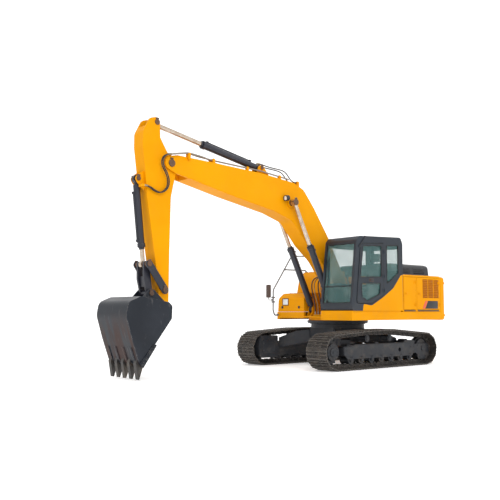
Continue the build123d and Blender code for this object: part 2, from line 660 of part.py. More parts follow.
def work_lamp():
    """Round work lamp on a bracket on the boom's left face."""
    place = Pos(1951, 292, 3823) * Rot(0, 100, 0)
    lamp = place * Cylinder(64, 90)
    lamp -= place * Pos(0, 0, 40) * Cylinder(56, 20)
    return lamp + block(1925, 1965, BOOM_HALF, 245, 3785, 3850)


def arm():
    """Tapered box girder with its cylinder forks, pivot pin and bucket boss."""
    rows = ((5330, 5105, 60), (5500, 5060, 120), (5655, 4760, 200), (5655, 4480, 300), (5590, 4000, 300),
            (5540, 3480, 900), (5325, 2180, 900), (5235, 1500, 200), (5235, 1250, 100), (5030, 1190, 90),
            (5025, 1480, 300), (5015, 2480, 900), (4992, 3533, 600), (4870, 4080, 120), (4870, 4330, 120),
            (5080, 4420, 60), (5255, 4700, 60), (5268, 5000, 90))
    body = side_plate(rows, -ARM_HALF, ARM_HALF)
    inner = ((5330, 4500, 60), (5590, 4500, 60), (5590, 4280, 100), (5540, 3900, 100), (5460, 3200, 300),
             (5320, 2380, 300), (5200, 1560, 30), (5080, 1560, 30), (5055, 2500, 200), (5050, 3880, 100))
    body -= side_plate(inner, -ARM_HALF + PLATE, ARM_HALF - PLATE)
    body -= side_plate(((5100, 4800, 5), (5300, 4620, 40), (5639, 4620, 30), (5639, 4756, 190), (5565, 4900, 5),
                        (5760, 4900, 5), (5760, 5200, 5), (5100, 5200, 5)), -ARM_HALF + 40, ARM_HALF - 40)
    body += across(ARM_PIVOT, PIVOT_PIN, -222, 222)
    for side in (-1, 1):
        ear = sorted((side * 75, side * 100))
        body += side_plate(((5560, 4020, 5), (5690, 3935, 60), (5775, 3850, 60), (5725, 3765, 60), (5560, 3600, 5)),
                           *ear)
    body += block(5640, 5690, 95, 238, 3672, 3720)
    body += across(LEVER_PIVOT, 70, -208, 208)
    body += across(BUCKET_PIVOT, 105, -172, 172)
    return body


CYLINDERS = {
    # base pin, rod pin, barrel length, barrel diameter, rod's inner end, rod diameter, places across the machine
    "boom": (BOOM_CYL_BASE, BOOM_CYL_ROD, 1620, 146, 1000, 90, (-BOOM_CYL_Y, BOOM_CYL_Y)),
    "arm": (ARM_CYL_BASE, ARM_CYL_ROD, 1600, 150, 1165, 100, (0,)),
    "bucket": (BUCKET_CYL_BASE, LINK_TOP, 1330, 132, 290, 85, (0,)),
}


def barrels(name):
    """Base eye, tube, stepped gland and steel pipe of each barrel of one kind of cylinder."""
    base, rod, length, diameter, start, rod_diameter, widths = CYLINDERS[name]
    side = diameter / 2
    pieces = []
    for y in widths:
        place = between(base, rod, y)
        piece = across(base, diameter * 0.58, y - 42, y + 42)
        piece += place * Pos(0, 0, 90) * Cylinder(diameter * 0.3, 100)
        piece += place * Pos(0, 0, 60 + length / 2) * Cylinder(side, length - 120)
        piece += place * Pos(0, 0, length - 40) * Cylinder(side + 12, 70)
        piece += place * Pos(0, 0, length + 15) * Cylinder(side - 12, 50)
        piece += place * Pos(-side - 20, 0, length / 2 + 90) * Cylinder(12, length - 360)
        for height in (270, length - 130):
            piece += place * Pos(-side - 10, 0, height) * Box(50, 50, 44)
        piece -= place * Pos(0, 0, length / 2 + 150) * Cylinder(rod_diameter / 2 + 3, length)
        pieces.append(piece)
    return pieces


def rods(name):
    """Chromed rod and its eye."""
    base, rod, length, diameter, start, rod_diameter, widths = CYLINDERS[name]
    reach = span(base, rod)
    pieces = []
    for y in widths:
        place = between(base, rod, y)
        piece = place * Pos(0, 0, (start + reach - 40) / 2) * Cylinder(rod_diameter / 2, reach - 40 - start)
        eye_half = rod_diameter / 2 + 4
        piece += across(rod, rod_diameter * 0.85, y - eye_half, y + eye_half)
        pieces.append(piece)
    return pieces


def hull_plate(rounds, y_low, y_high):
    """Flat plate round a few circles of (x, z, radius)."""
    edges = [edge for x, z, radius in rounds for edge in (Pos(x, z) * Circle(radius)).edges()]
    return extrude(Plane.XZ.offset(-y_high) * make_hull(edges), y_high - y_low, dir=(0, -1, 0))


def bucket_levers():
    """Two plates from the arm to the cylinder's rod pin, outside the arm and the bucket's ears."""
    rounds = ((*LEVER_PIVOT, 78), (*LINK_TOP, 72))
    return [hull_plate(rounds, low, high) for low, high in ((213, 239), (-239, -213))]


def bucket_link():
    """H-shaped link between the rod pin and the bucket's ears: two bowed plates joined by a web."""
    middle = ((LINK_TOP[0] + LINK_LOW[0]) / 2 + 32, (LINK_TOP[1] + LINK_LOW[1]) / 2, 62)
    rounds = ((*LINK_TOP, 62), middle, (*LINK_LOW, 62))
    body = across(LINK_LOW, 62, -168, 168)
    for low, high in ((88, 138), (-138, -88)):
        body += hull_plate(rounds, low, high)
    length = span(LINK_LOW, LINK_TOP)
    return body + between(LINK_LOW, LINK_TOP) * Pos(30, 0, length * 0.42) * Box(44, 190, length * 0.36)


BUCKET_SIDE = (
    (5205, 1140, 20), (5195, 1380, 60), (5270, 1450, 60), (5880, 1560, 120), (6150, 1450, 160), (6195, 1200, 300),
    (6060, 760, 500), (5905, 330, 20), (5830, 250, 20), (5590, 640, 500),
)


# Bolted cutter on each side plate beside the lip: x, z, corner radius.
SIDE_CUTTER = ((5540, 655, 15), (5600, 672, 15), (5900, 330, 15), (5840, 235, 15))


def bucket():
    """Open bucket: rounded shell between two side plates, with ears, lip, side cutters and wear strips."""
    body = side_plate(BUCKET_SIDE, -BUCKET_HALF, BUCKET_HALF)
    inside = ((5100, 1100, 20), (5290, 1420, 20), (5870, 1530, 100), (6125, 1430, 140), (6165, 1200, 280),
              (6030, 770, 480), (5870, 330, 5), (5780, 180, 5), (5560, 600, 5))
    body -= side_plate(inside, -BUCKET_HALF + 25, BUCKET_HALF - 25)
    body -= block(5100, 5330, -BUCKET_HALF + 25, BUCKET_HALF - 25, 1100, 1500)
    for side in (-1, 1):
        ear = sorted((side * 176, side * 204))
        body += side_plate(((5040, 1300, 60), (5060, 1400, 60), (5390, 1700, 70), (5490, 1700, 60), (5640, 1540, 40),
                            (5640, 1490, 5), (5340, 1440, 5), (5180, 1215, 60), (5080, 1215, 60)), *ear)
        body += across(BUCKET_PIVOT, 80, *sorted((side * 176, side * 210)))
        cutter = sorted((side * BUCKET_HALF, side * (BUCKET_HALF + 20)))
        body += side_plate(SIDE_CUTTER, *cutter)
    return body


def bucket_teeth(shell):
    """Five forged teeth that wrap round the lip."""
    teeth = []
    for number in range(5):
        y = -460 + number * 230
        face = ((5790, 330, 5), (5925, 400, 5), (5950, 330, 5), (5895, 30, 8), (5870, 30, 8), (5795, 260, 5))
        teeth.append(side_plate(face, y - 45, y + 45) - shell)
    return teeth


def make_all():
    os.makedirs("parts", exist_ok=True)
    for side, word in ((1, "left"), (-1, "right")):
        save(f"track_{word}", track(side))
        save(f"side_frame_{word}", side_frame(side) + motor_guard(side))
        save(f"sprocket_{word}", sprocket(side))
        save(f"idler_{word}", idler(side))
        save(f"rollers_{word}", rollers(side))
    save("centre_frame", centre_frame())
    save("slew_ring", slew_ring())
    save("platform", platform())
    save("counterweight", counterweight())
    save("engine_bay", engine_bay())
    save("engine_block", engine_block())
    save("radiator", radiator())
    save("engine_hood", engine_hood())
    save("service_door_left_front", side_door(BAY_SEAM + 30, BAY_FRONT - 40, 1))
    save("service_door_left_rear", side_door(BAY_REAR + 50, BAY_SEAM - 30, 1, GRILLE))
    save("service_door_right", side_door(BAY_REAR + 50, -1155, -1))
    save("fuel_tank", fuel_tank())
    save("toolbox", toolbox())
    save("handrail", handrail())
    save("mirror", mirror_and_arm())
    save("side_panel_left", side_panel_left())
    save("cab_frame", cab_frame())
    save("cab_glass", cab_glass())
    save("cab_seat", cab_seat())
    save("exhaust", exhaust())
    save("cab_door", cab_door())
    save("cab_door_glass", cab_door_glass())
    save("boom", boom())
    save("boom_pipes", boom_pipes())
    save("work_lamp", work_lamp())
    save("boom_hoses", boom_hoses())
    save("arm_hoses", arm_hoses())
    save("arm_cylinder_hoses", arm_cylinder_hoses())
    save("arm", arm())
    save("boom_cylinder_barrels", barrels("boom"))
    save("boom_cylinder_rods", rods("boom"))
    save("arm_cylinder_barrel", barrels("arm"))
    save("arm_cylinder_rod", rods("arm"))
    save("bucket_cylinder_barrel", barrels("bucket"))
    save("bucket_cylinder_rod", rods("bucket"))
    save("bucket_levers", bucket_levers())
    save("bucket_link", bucket_link())
    save("bucket", bucket())
    save("bucket_teeth", bucket_teeth(bucket()))


make_all()
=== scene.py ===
"""Crawler excavator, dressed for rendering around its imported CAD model. Everything is in metres, +X towards the
bucket, +Y to the cab's side, and the ground is at Z 0."""
from math import cos, hypot, pi, radians, sin

import bmesh
import bpy
from mathutils import Matrix, Vector


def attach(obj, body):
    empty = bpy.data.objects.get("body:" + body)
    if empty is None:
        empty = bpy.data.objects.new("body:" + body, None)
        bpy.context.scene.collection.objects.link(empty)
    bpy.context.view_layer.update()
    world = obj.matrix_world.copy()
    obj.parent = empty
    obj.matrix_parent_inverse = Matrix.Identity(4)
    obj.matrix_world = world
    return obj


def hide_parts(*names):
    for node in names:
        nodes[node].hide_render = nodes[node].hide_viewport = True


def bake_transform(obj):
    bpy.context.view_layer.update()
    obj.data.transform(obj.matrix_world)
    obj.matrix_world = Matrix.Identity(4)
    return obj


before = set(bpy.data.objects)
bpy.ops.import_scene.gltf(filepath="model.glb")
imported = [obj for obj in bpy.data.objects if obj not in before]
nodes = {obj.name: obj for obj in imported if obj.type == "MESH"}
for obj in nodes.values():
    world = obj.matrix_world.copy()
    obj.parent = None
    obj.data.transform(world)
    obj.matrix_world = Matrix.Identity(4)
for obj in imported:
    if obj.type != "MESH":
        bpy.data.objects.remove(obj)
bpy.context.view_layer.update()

# ---- Studio ----
# A pale seamless floor that turns up into a wall behind the machine, lit by a bright dome and three large
# soft panels. The camera stands low in front of the left track, as a person with a long lens would.
SWEEP_RADIUS = 6.0
FLOOR_HALF = 30.0
WALL_RISE = 26
TO_WALL = Vector((-0.64, -0.76, 0)).normalized()


def placed(name, data):
    """A new object in the scene."""
    thing = bpy.data.objects.new(name, data)
    bpy.context.collection.objects.link(thing)
    return thing


def as_data(name, mesh):
    """A bmesh written out as mesh data."""
    data = bpy.data.meshes.new(name)
    mesh.to_mesh(data)
    mesh.free()
    return data


def slide(mesh, made, shift):
    """Move the corners that an extrusion has just made."""
    moved = [item for item in made["geom"] if isinstance(item, bmesh.types.BMVert)]
    bmesh.ops.translate(mesh, verts=moved, vec=shift)
    return moved


def seamless_floor():
    mesh = bmesh.new()
    sideways = Vector((TO_WALL.y, -TO_WALL.x, 0)) * FLOOR_HALF
    foot = TO_WALL * FLOOR_HALF * 0.62
    steps = [foot - TO_WALL * 2 * FLOOR_HALF, foot]
    for turn in range(10, 91, 10):
        angle = radians(turn)
        steps.append(foot + TO_WALL * SWEEP_RADIUS * sin(angle) + Vector((0, 0, SWEEP_RADIUS * (1 - cos(angle)))))
    steps.append(steps[-1] + Vector((0, 0, WALL_RISE)))
    verts = [mesh.verts.new(step - sideways) for step in steps]
    edges = [mesh.edges.new(pair) for pair in zip(verts, verts[1:])]
    slide(mesh, bmesh.ops.extrude_edge_only(mesh, edges=edges), sideways * 2)
    bmesh.ops.recalc_face_normals(mesh, faces=mesh.faces)
    for face in mesh.faces:
        face.smooth = True
    return placed("studio_floor", as_data("studio_floor", mesh))


floor = seamless_floor()
floor_paint = bpy.data.materials.new("studio_white")
floor_paint.use_nodes = True
for socket, value in (("Base Color", (0.93, 0.93, 0.93, 1)), ("Roughness", 0.9), ("Emission Color", (1, 1, 1, 1)),
                      ("Emission Strength", 0.30)):
    floor_paint.node_tree.nodes["Principled BSDF"].inputs[socket].default_value = value
floor.data.materials.append(floor_paint)

world = bpy.data.worlds.new("studio_dome")
world.use_nodes = True
for socket, value in (("Color", (1, 1, 1, 1)), ("Strength", 1.0)):
    world.node_tree.nodes["Background"].inputs[socket].default_value = value
bpy.context.scene.world = world


def soft_panel(name, place, aim, size, watts):
    lamp = bpy.data.lights.new(name, "AREA")
    lamp.size = size
    lamp.energy = watts
    panel = placed(name, lamp)
    panel.location = place
    panel.rotation_euler = (Vector(aim) - Vector(place)).to_track_quat("-Z", "Y").to_euler()


soft_panel("key_panel", (7, 11, 13), (0, 0, 2), 6, 700)
soft_panel("fill_panel", (13, -3, 6), (1, 0, 2), 8, 40)
soft_panel("back_panel", (-9, 8, 9), (-1, 0, 2), 7, 150)

lens = bpy.data.cameras.new("front_left_camera")
lens.lens = 50.4
lens.sensor_width = 36
camera = placed("front_left_camera", lens)
camera.location = (10.954, 11.677, 1.288)
camera.rotation_euler = (radians(94.964), 0, radians(-220.301))
bpy.context.scene.camera = camera
bpy.context.scene.view_settings.view_transform = "Standard"

# ---- Boom hoses ----
# Four wire-braided rubber hoses that bring oil from the deck up to the boom. Both ends are crimped into steel
# fittings, and the arch between them gives the boom the slack that it needs to rise and fall.
SLEW_X = -1741            # slew axis, in millimetres from the middle of the machine


def at(x, y, z):
    """A place measured in millimetres from the slew axis at ground level."""
    return Vector(((x + SLEW_X) / 1000, y / 1000, z / 1000))


class Value:
    """One output of a finish's nodes: the operators add Math nodes to that finish."""

    def __init__(self, finish, socket):
        self.finish = finish
        self.socket = socket

    def math(self, operation, first, second):
        return self.finish.node("ShaderNodeMath", {"operation": operation}, {0: first, 1: second})

    def __add__(self, other):
        return self.math("ADD", self, other)

    def __sub__(self, other):
        return self.math("SUBTRACT", self, other)

    def __rsub__(self, other):
        return self.math("SUBTRACT", other, self)

    def __mul__(self, other):
        return self.math("MULTIPLY", self, other)

    __radd__ = __add__
    __rmul__ = __mul__


class Finish:
    """A surface finish: one material with its Principled shader, made from procedural nodes."""

    def __init__(self, name, **shader):
        self.material = bpy.data.materials.new(name)
        self.material.use_nodes = True
        self.tree = self.material.node_tree
        self.shader = self.tree.nodes["Principled BSDF"]
        for socket, value in shader.items():
            self.set(socket.replace("_", " "), value)

    def node(self, kind, settings, sockets, output=0):
        """A node of that type: its settings first, then the values or links of its sockets."""
        made = self.tree.nodes.new(kind)
        for key, value in settings.items():
            setattr(made, key, value)
        for key, value in sockets.items():
            self.join(value, made.inputs[key])
        return Value(self, made.outputs[output])

    def join(self, value, socket):
        if isinstance(value, Value):
            self.tree.links.new(value.socket, socket)
        elif isinstance(value, tuple) and socket.type == "RGBA":
            socket.default_value = (*value, 1)
        else:
            socket.default_value = value

    def set(self, socket, value):
        self.join(value, self.shader.inputs[socket])

    def place(self, scale=(1, 1, 1)):
        """Where a point lies on the machine, stretched by scale."""
        object_place = self.node("ShaderNodeTexCoord", {}, {}, "Object")
        return self.node("ShaderNodeMapping", {}, {"Vector": object_place, "Scale": scale})

    def part_of(self, vector, axis):
        return self.node("ShaderNodeSeparateXYZ", {}, {0: vector}, axis)

    def facing(self):
        """The surface's own direction, without its bumps."""
        return self.node("ShaderNodeNewGeometry", {}, {}, "Normal")

    def noise(self, scale, detail, roughness=0.55, stretch=(1, 1, 1), warp=0.0):
        sockets = {"Vector": self.place(stretch), "Scale": scale, "Detail": detail, "Roughness": roughness,
                   "Distortion": warp}
        return self.node("ShaderNodeTexNoise", {}, sockets)

    def bands(self, direction, scale, warp=0.0):
        return self.node("ShaderNodeTexWave", {"bands_direction": direction},
                         {"Vector": self.place(), "Scale": scale, "Distortion": warp})

    def window(self, value, low, high, bottom=0.0, top=1.0):
        """Value's share of the way from low to high, eased at both ends."""
        sockets = {"Value": value, "From Min": low, "From Max": high, "To Min": bottom, "To Max": top}
        return self.node("ShaderNodeMapRange", {"interpolation_type": "SMOOTHSTEP"}, sockets)

    def mix(self, share, under, over):
        """One colour laid over another: the Mix node's colour sockets are 6 and 7, and its colour output is 2."""
        return self.node("ShaderNodeMix", {"data_type": "RGBA", "clamp_factor": True}, {0: share, 6: under, 7: over}, 2)

    def edges(self, radius):
        """1 along worn outer corners and edges, 0 on flat faces."""
        soft = self.node("ShaderNodeBevel", {"samples": 4}, {"Radius": radius})
        same = self.node("ShaderNodeVectorMath", {"operation": "DOT_PRODUCT"}, {0: soft, 1: self.facing()}, "Value")
        return self.window(same, 0.985, 0.8)

    def bumps(self, height, strength, distance):
        bump = self.node("ShaderNodeBump", {}, {"Height": height, "Strength": strength, "Distance": distance})
        self.set("Normal", bump)


def two_tone(name, patches, tones, roughness, grain, share=1.0, cloth=False, **shader):
    """A finish whose second tone lies over the first in patches: (noise, from, to). Roughness is (least, rise on the
    patches). The grain is noise, or slanting bands on cloth: (scale, detail or warp, strength, depth in metres)."""
    finish = Finish(name, **shader)
    patch = finish.window(finish.noise(*patches[0]), *patches[1:])
    finish.set("Base Color", finish.mix(patch * share, *tones))
    least, rise = roughness
    finish.set("Roughness", least + patch * rise if rise else least)
    scale, detail, strength, depth = grain
    finish.bumps(finish.bands("DIAGONAL", scale, detail) if cloth else finish.noise(scale, detail), strength, depth)
    return finish.material


black_hose, golden_hose = [
    two_tone(name, ((9, 5), 0.46, 0.72), tones, (0.36, 0.3), (90, 1.5, 0.35, 0.002), 0.6, cloth=True)
    for name, tones in (("black_hose_rubber", ((0.02, 0.018, 0.017), (0.11, 0.085, 0.06))),
                        ("golden_hose_guard", ((0.30, 0.16, 0.05), (0.50, 0.33, 0.14))))
]


def route_curve(name, route, diameter):
    """A smooth curve along a route, thick as the hose."""
    data = bpy.data.curves.new(name, "CURVE")
    data.dimensions = "3D"
    data.resolution_u = 6
    spline = data.splines.new("NURBS")
    spline.points.add(len(route) - 1)
    for point, place in zip(spline.points, route):
        point.co = (*place, 1)
    spline.order_u = 3
    spline.use_endpoint_u = True
    data.bevel_depth = diameter / 2
    data.bevel_resolution = 3
    data.use_fill_caps = True
    return placed(name, data)


def curve_mesh(curve):
    bpy.context.view_layer.update()
    return bpy.data.meshes.new_from_object(curve.evaluated_get(bpy.context.evaluated_depsgraph_get()))


def centreline(curve):
    """The points that a curve runs through, and the length along them."""
    depth = curve.data.bevel_depth
    curve.data.bevel_depth = 0
    thread = curve_mesh(curve)
    curve.data.bevel_depth = depth
    points = [vertex.co.copy() for vertex in thread.vertices]
    bpy.data.meshes.remove(thread)
    return points, sum((b - a).length for a, b in zip(points, points[1:]))


def free_hose(name, route, diameter, material, bodies, bend_zone=None):
    """A hose that hangs free between its fittings. Where it joins two bodies it is baked into a still mesh on neither.
    """
    piece = route_curve(name, route, diameter)
    path, length = centreline(piece)
    if bend_zone:
        mesh = curve_mesh(piece)
        bpy.data.objects.remove(piece)
        piece = placed(name, mesh)
        for polygon in mesh.polygons:
            polygon.use_smooth = True
    piece.data.materials.clear()
    piece.data.materials.append(material)
    if bend_zone:
        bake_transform(piece)
    else:
        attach(piece, bodies[0])
    return piece


# From the deck up to the underside of the boom: along, up. Each row is its place across, its lean and its cover.
BOOM_HOSE = ((610, 1200), (610, 1400), (655, 1610), (715, 1800), (712, 1950), (657, 2043), (575, 2085), (500, 2085))
BOOM_HOSE_ROWS = ((-150, 12, black_hose), (-52, 32, golden_hose), (48, 0, black_hose), (150, 20, golden_hose))

for number, (across, lean, rubber) in enumerate(BOOM_HOSE_ROWS):
    route = [at(along + (lean if index in (2, 3, 4) else 0), across, up)
             for index, (along, up) in enumerate(BOOM_HOSE)]
    free_hose(f"boom_hose_{number + 1}", route, 0.028, rubber, ("upper", "boom"),
                                      (at(610, 0, 1260), at(610, 0, 2060)))
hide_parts("boom_hoses")

# ---- Arm hoses ----
# Two hoses loop from the boom's tip over the arm pivot to the bucket cylinder's port, so that the arm can swing
# without pulling them.
ARM_HOSE = (
    (5070, 4384, 236), (5190, 4360, 236), (5268, 4250, 236), (5252, 4116, 236), (5165, 3995, 236), (5098, 3860, 215),
    (5100, 3735, 195), (5170, 3640, 190), (5290, 3585, 190), (5415, 3622, 190), (5525, 3696, 190), (5640, 3696, 190),
)
ARM_HOSE_SHIFTS = (0, 31)
for number, shift in enumerate(ARM_HOSE_SHIFTS):
    route = [at(x - shift * 0.5, y + shift, z) for x, z, y in ARM_HOSE[:-2]]
    route += [at(x, y + shift, z) for x, z, y in ARM_HOSE[-2:]]
    free_hose(f"arm_hose_{number + 1}", route, 0.026, black_hose, ("boom", "arm"),
                                     (at(5150, 236, 4330), at(5150, 190, 3700)))
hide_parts("arm_hoses")

# ---- Arm cylinder hoses ----
# A pair of wire-braided rubber hoses that rises from the bracket at the boom's bend and runs over the eye of the
# arm cylinder. Both ends are crimped into steel fittings.
CYLINDER_HOSE = ((1440, 4262), (1530, 4262), (1620, 4312), (1705, 4405), (1800, 4480), (1950, 4505), (2200, 4512),
                 (2400, 4532), (2530, 4560), (2640, 4552))
CYLINDER_HOSE_ROWS = (-61, 61)
cylinder_hose_pieces = [
    free_hose(f"arm_cylinder_hose_{number + 1}", [at(x, across, z) for x, z in CYLINDER_HOSE], 0.026, black_hose,
              ("boom",))
    for number, across in enumerate(CYLINDER_HOSE_ROWS)
]
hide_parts("arm_cylinder_hoses")

# ---- Tracks ----
# Each track is forty-five rolled triple-grouser shoes, bolted with four bolts to forged links that turn on
# pins and bushings. The steel is bare and brown with dust. Its edges are brighter where the ground rubs them,
# and on the grouser tips this brightening is partly a painted highlight.
GAUGE_HALF = 1170
SPROCKET_X, SPROCKET_Z = 1580, 400
IDLER_X, IDLER_Z = -1590, 385
PITCH_RADIUS = 316
CARRIERS = (430, -370)
CARRIER_RISE = 785
SHOE_COUNT = 45
LINK_HALF = 46
SHOE_PLATE = 12
SHOE_HALF = 300
LINK_FACES = (63, 107)    # a link's inner and outer face, from the track's centre
UP = Vector((0, 0, 1))


def chain_pins():
    """The chain's pins as (along, up) in millimetres, evenly spaced from the sprocket over the carriers, and
    the pitch between them."""
    def half_turn(x, z, radius, first):
        turns = [radians(turn) for turn in range(first, first + 181, 6)]
        return [(x + radius * cos(turn), z + radius * sin(turn)) for turn in turns]

    corners = half_turn(SPROCKET_X, SPROCKET_Z, PITCH_RADIUS, -90)
    corners += [(carrier, CARRIER_RISE) for carrier in CARRIERS]
    corners += half_turn(IDLER_X, IDLER_Z, PITCH_RADIUS - (SPROCKET_Z - IDLER_Z), 90)
    runs = list(zip(corners, corners[1:] + corners[:1]))
    pitch = sum(hypot(b[0] - a[0], b[1] - a[1]) for a, b in runs) / SHOE_COUNT
    pins = []
    travelled = 0.0
    for a, b in runs:
        length = hypot(b[0] - a[0], b[1] - a[1])
        while len(pins) < SHOE_COUNT and len(pins) * pitch < travelled + length:
            share = (len(pins) * pitch - travelled) / length
            pins.append((a[0] + share * (b[0] - a[0]), a[1] + share * (b[1] - a[1])))
        travelled += length
    return pins, pitch


def add_slab(mesh, outline, low, high):
    """An outline of (along, up) points in millimetres, made solid across the machine from low to high."""
    face = mesh.faces.new([mesh.verts.new((x / 1000, low / 1000, z / 1000)) for x, z in outline])
    slide(mesh, bmesh.ops.extrude_face_region(mesh, geom=[face]), (0, (high - low) / 1000, 0))


def standing(place, axis):
    """The matrix that stands a shape at a place, with its own Z along the axis."""
    return Matrix.Translation(place) @ axis.to_track_quat("Z", "Y").to_matrix().to_4x4()


def add_rod(mesh, start, end, radius, sides=16, tip=None):
    """A round, six-sided or tapered bar between two places, with radii in metres."""
    bmesh.ops.create_cone(mesh, cap_ends=True, segments=sides, radius1=radius, radius2=radius if tip is None else tip,
                          depth=(end - start).length, matrix=standing((start + end) / 2, end - start))


def add_turned(mesh, foot, axis, *rows):
    """A piece turned on an axis. Each row is a step of it: where it starts and ends along the axis, its radius, its
    sides and, where it tapers, its far radius, in metres."""
    foot, axis = Vector(foot), Vector(axis)
    for start, end, *shape in rows:
        add_rod(mesh, foot + axis * start, foot + axis * end, *shape)


def ease(mesh, offset, edges=None, segments=2):
    """Bevel some edges, or all of them, by so many metres."""
    bmesh.ops.bevel(mesh, geom=edges or mesh.edges[:], offset=offset, offset_type="OFFSET", segments=segments,
                    profile=0.5, affect="EDGES", material=-1)


def finished(name, mesh, material, body, crease=32):
    """Close a mesh as a piece of the machine: outward faces, smooth up to the crease angle, riding on a body."""
    bmesh.ops.recalc_face_normals(mesh, faces=mesh.faces)
    for face in mesh.faces:
        face.smooth = True
    for edge in mesh.edges:
        edge.smooth = edge.is_manifold and edge.calc_face_angle(pi) < radians(crease)
    piece = placed(name, as_data(name, mesh))
    piece.data.materials.append(material)
    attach(piece, body)
    return piece


steel = Finish("worn_track_steel", Metallic=0.35)
tone = steel.mix(steel.window(steel.noise(5, 6, 0.6), 0.35, 0.7), (0.020, 0.018, 0.018), (0.055, 0.045, 0.038))
soil = steel.window(steel.noise(22, 5), 0.5, 0.7)
tone = steel.mix(soil * 0.3, tone, (0.12, 0.10, 0.08))
# Brighter steel along the edges: partly metal worn bright, partly a painted highlight on the grouser tips.
rubbed = steel.edges(0.009) * steel.window(steel.noise(11, 4), 0.18, 0.45)
steel.set("Base Color", steel.mix(rubbed * 0.75, tone, (0.36, 0.33, 0.29)))
steel.set("Roughness", 0.62 + soil * 0.2 - rubbed * 0.25)
steel.bumps(steel.noise(70, 6, 0.7), 0.5, 0.003)

# One shoe from the side: share of the pitch, height over the plate in millimetres.
SHOE_OUTLINE = ((-0.09, -13), (-0.09, -7), (0.01, -3), (0.045, 26), (0.10, 26), (0.145, 0), (0.455, 0), (0.485, 25),
                (0.545, 25), (0.58, 0), (0.855, 0), (0.89, 25), (0.94, 25), (0.985, -4), (1.08, -8), (1.08, -12))
# One link from the side: share of the pitch, height over the pins' line.
LINK_OUTLINE = ((-0.14, -24), (-0.07, -42), (0.25, -42), (0.36, -34), (0.64, -34), (0.75, -42), (1.07, -42),
                (1.14, -24), (1.14, 20), (1.05, 40), (0.90, 45), (0.10, 45), (-0.05, 40), (-0.14, 20))


def chain_piece(name, side, template):
    """Repeat one shoe's or link's mesh at every pin of a track."""
    pins = chain_pins()[0]
    loop = bmesh.new()
    for (x0, z0), (x1, z1) in zip(pins, pins[1:] + pins[:1]):
        along = Vector((x1 - x0, 0, z1 - z0)).normalized()
        outward = Vector((along.z, 0, -along.x))
        place = Matrix((along, Vector((0, -1, 0)), outward)).transposed().to_4x4()
        place.translation = at(x0, side * GAUGE_HALF, z0)
        first = len(loop.verts)
        loop.from_mesh(template)
        loop.verts.ensure_lookup_table()
        bmesh.ops.transform(loop, matrix=place, verts=loop.verts[first:])
    return finished(name, loop, steel.material, "undercarriage", 25)


def shoe_template(pitch):
    """One shoe: the plate with its three ribs, the ribs' ends cut back, and its four bolts."""
    shoe = bmesh.new()
    base = LINK_HALF + SHOE_PLATE
    add_slab(shoe, [(share * pitch, base + rise) for share, rise in SHOE_OUTLINE], -SHOE_HALF, SHOE_HALF)
    end, rib_foot = (SHOE_HALF - 1) / 1000, (base + 22) / 1000
    tips = [edge for edge in shoe.edges if edge.verts[0].co.y * edge.verts[1].co.y > end * end
            and min(vert.co.z for vert in edge.verts) > rib_foot]
    ease(shoe, 0.016, tips, 1)
    for share in (0.30, 0.715):
        for across in (-0.107, -0.063, 0.063, 0.107):
            add_turned(shoe, (share * pitch / 1000, across, base / 1000), UP, (0, 0.013, 0.016, 6))
    return as_data("shoe", shoe)


def link_template(pitch):
    """One pair of links with the pin and the bushing between them."""
    link = bmesh.new()
    inner, outer = LINK_FACES
    for low, high in ((-outer, -inner), (inner, outer)):
        add_slab(link, [(share * pitch, rise) for share, rise in LINK_OUTLINE], low, high)
    add_turned(link, (0, 0, 0), (0, 1, 0), (-0.118, 0.118, 0.021, 12), (-inner / 1000, inner / 1000, 0.033, 12))
    return as_data("link", link)


CHAIN_PITCH = chain_pins()[1]
for side, word in ((1, "left"), (-1, "right")):
    shoes = chain_piece(f"track_shoes_{word}", side, shoe_template(CHAIN_PITCH))
    chain_piece(f"track_links_{word}", side, link_template(CHAIN_PITCH))
    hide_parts(f"track_{word}")

# ---- Undercarriage ----
# The welded X frame, the two side beams with their roller guards, and the wheels. All of it is sprayed dark
# grey and carries the dust that the tracks throw up.
DUST = (0.19, 0.15, 0.11)


def sprayed_paint(name, colour, shade, chip, gloss, dust=0.3, dust_top=1.3, clear=0.1, sheen=0.4):
    """Sprayed machine paint: a slight drift of tone, orange peel, dust that settles low, and rubbed edges."""
    paint = Finish(name, Specular_IOR_Level=sheen, Coat_Weight=clear)
    drift = paint.window(paint.noise(0.8, 3), 0.3, 0.7)
    grime = paint.window(paint.noise(4.5, 7, 0.62), 0.42, 0.78)
    settled = grime * paint.window(paint.part_of(paint.place(), "Z"), dust_top, 0.0, 0.12, 1.0) * dust
    tone = paint.mix(settled, paint.mix(drift, colour, shade), DUST)
    rubbed = paint.edges(0.008) * paint.window(paint.noise(17, 5), 0.54, 0.66)
    paint.set("Base Color", paint.mix(rubbed * 0.7, tone, chip))
    paint.set("Roughness", gloss + drift * 0.06 + settled * 0.4)
    paint.bumps(paint.noise(120, 3), 0.06, 0.001)
    return paint.material


def coat(material, *names):
    """Give CAD nodes their finish."""
    for name in names:
        for slot in nodes[name].material_slots:
            slot.material = material


frame_grey = sprayed_paint("frame_dark_grey", (0.016, 0.018, 0.023), (0.024, 0.027, 0.033), (0.16, 0.14, 0.12), 0.45,
                           dust=0.4, dust_top=1.0, clear=0.05, sheen=0.3)
coat(frame_grey, "centre_frame", "side_frame_left", "side_frame_right", "sprocket_left", "sprocket_right",
     "idler_left", "idler_right", "rollers_left", "rollers_right", "slew_ring")

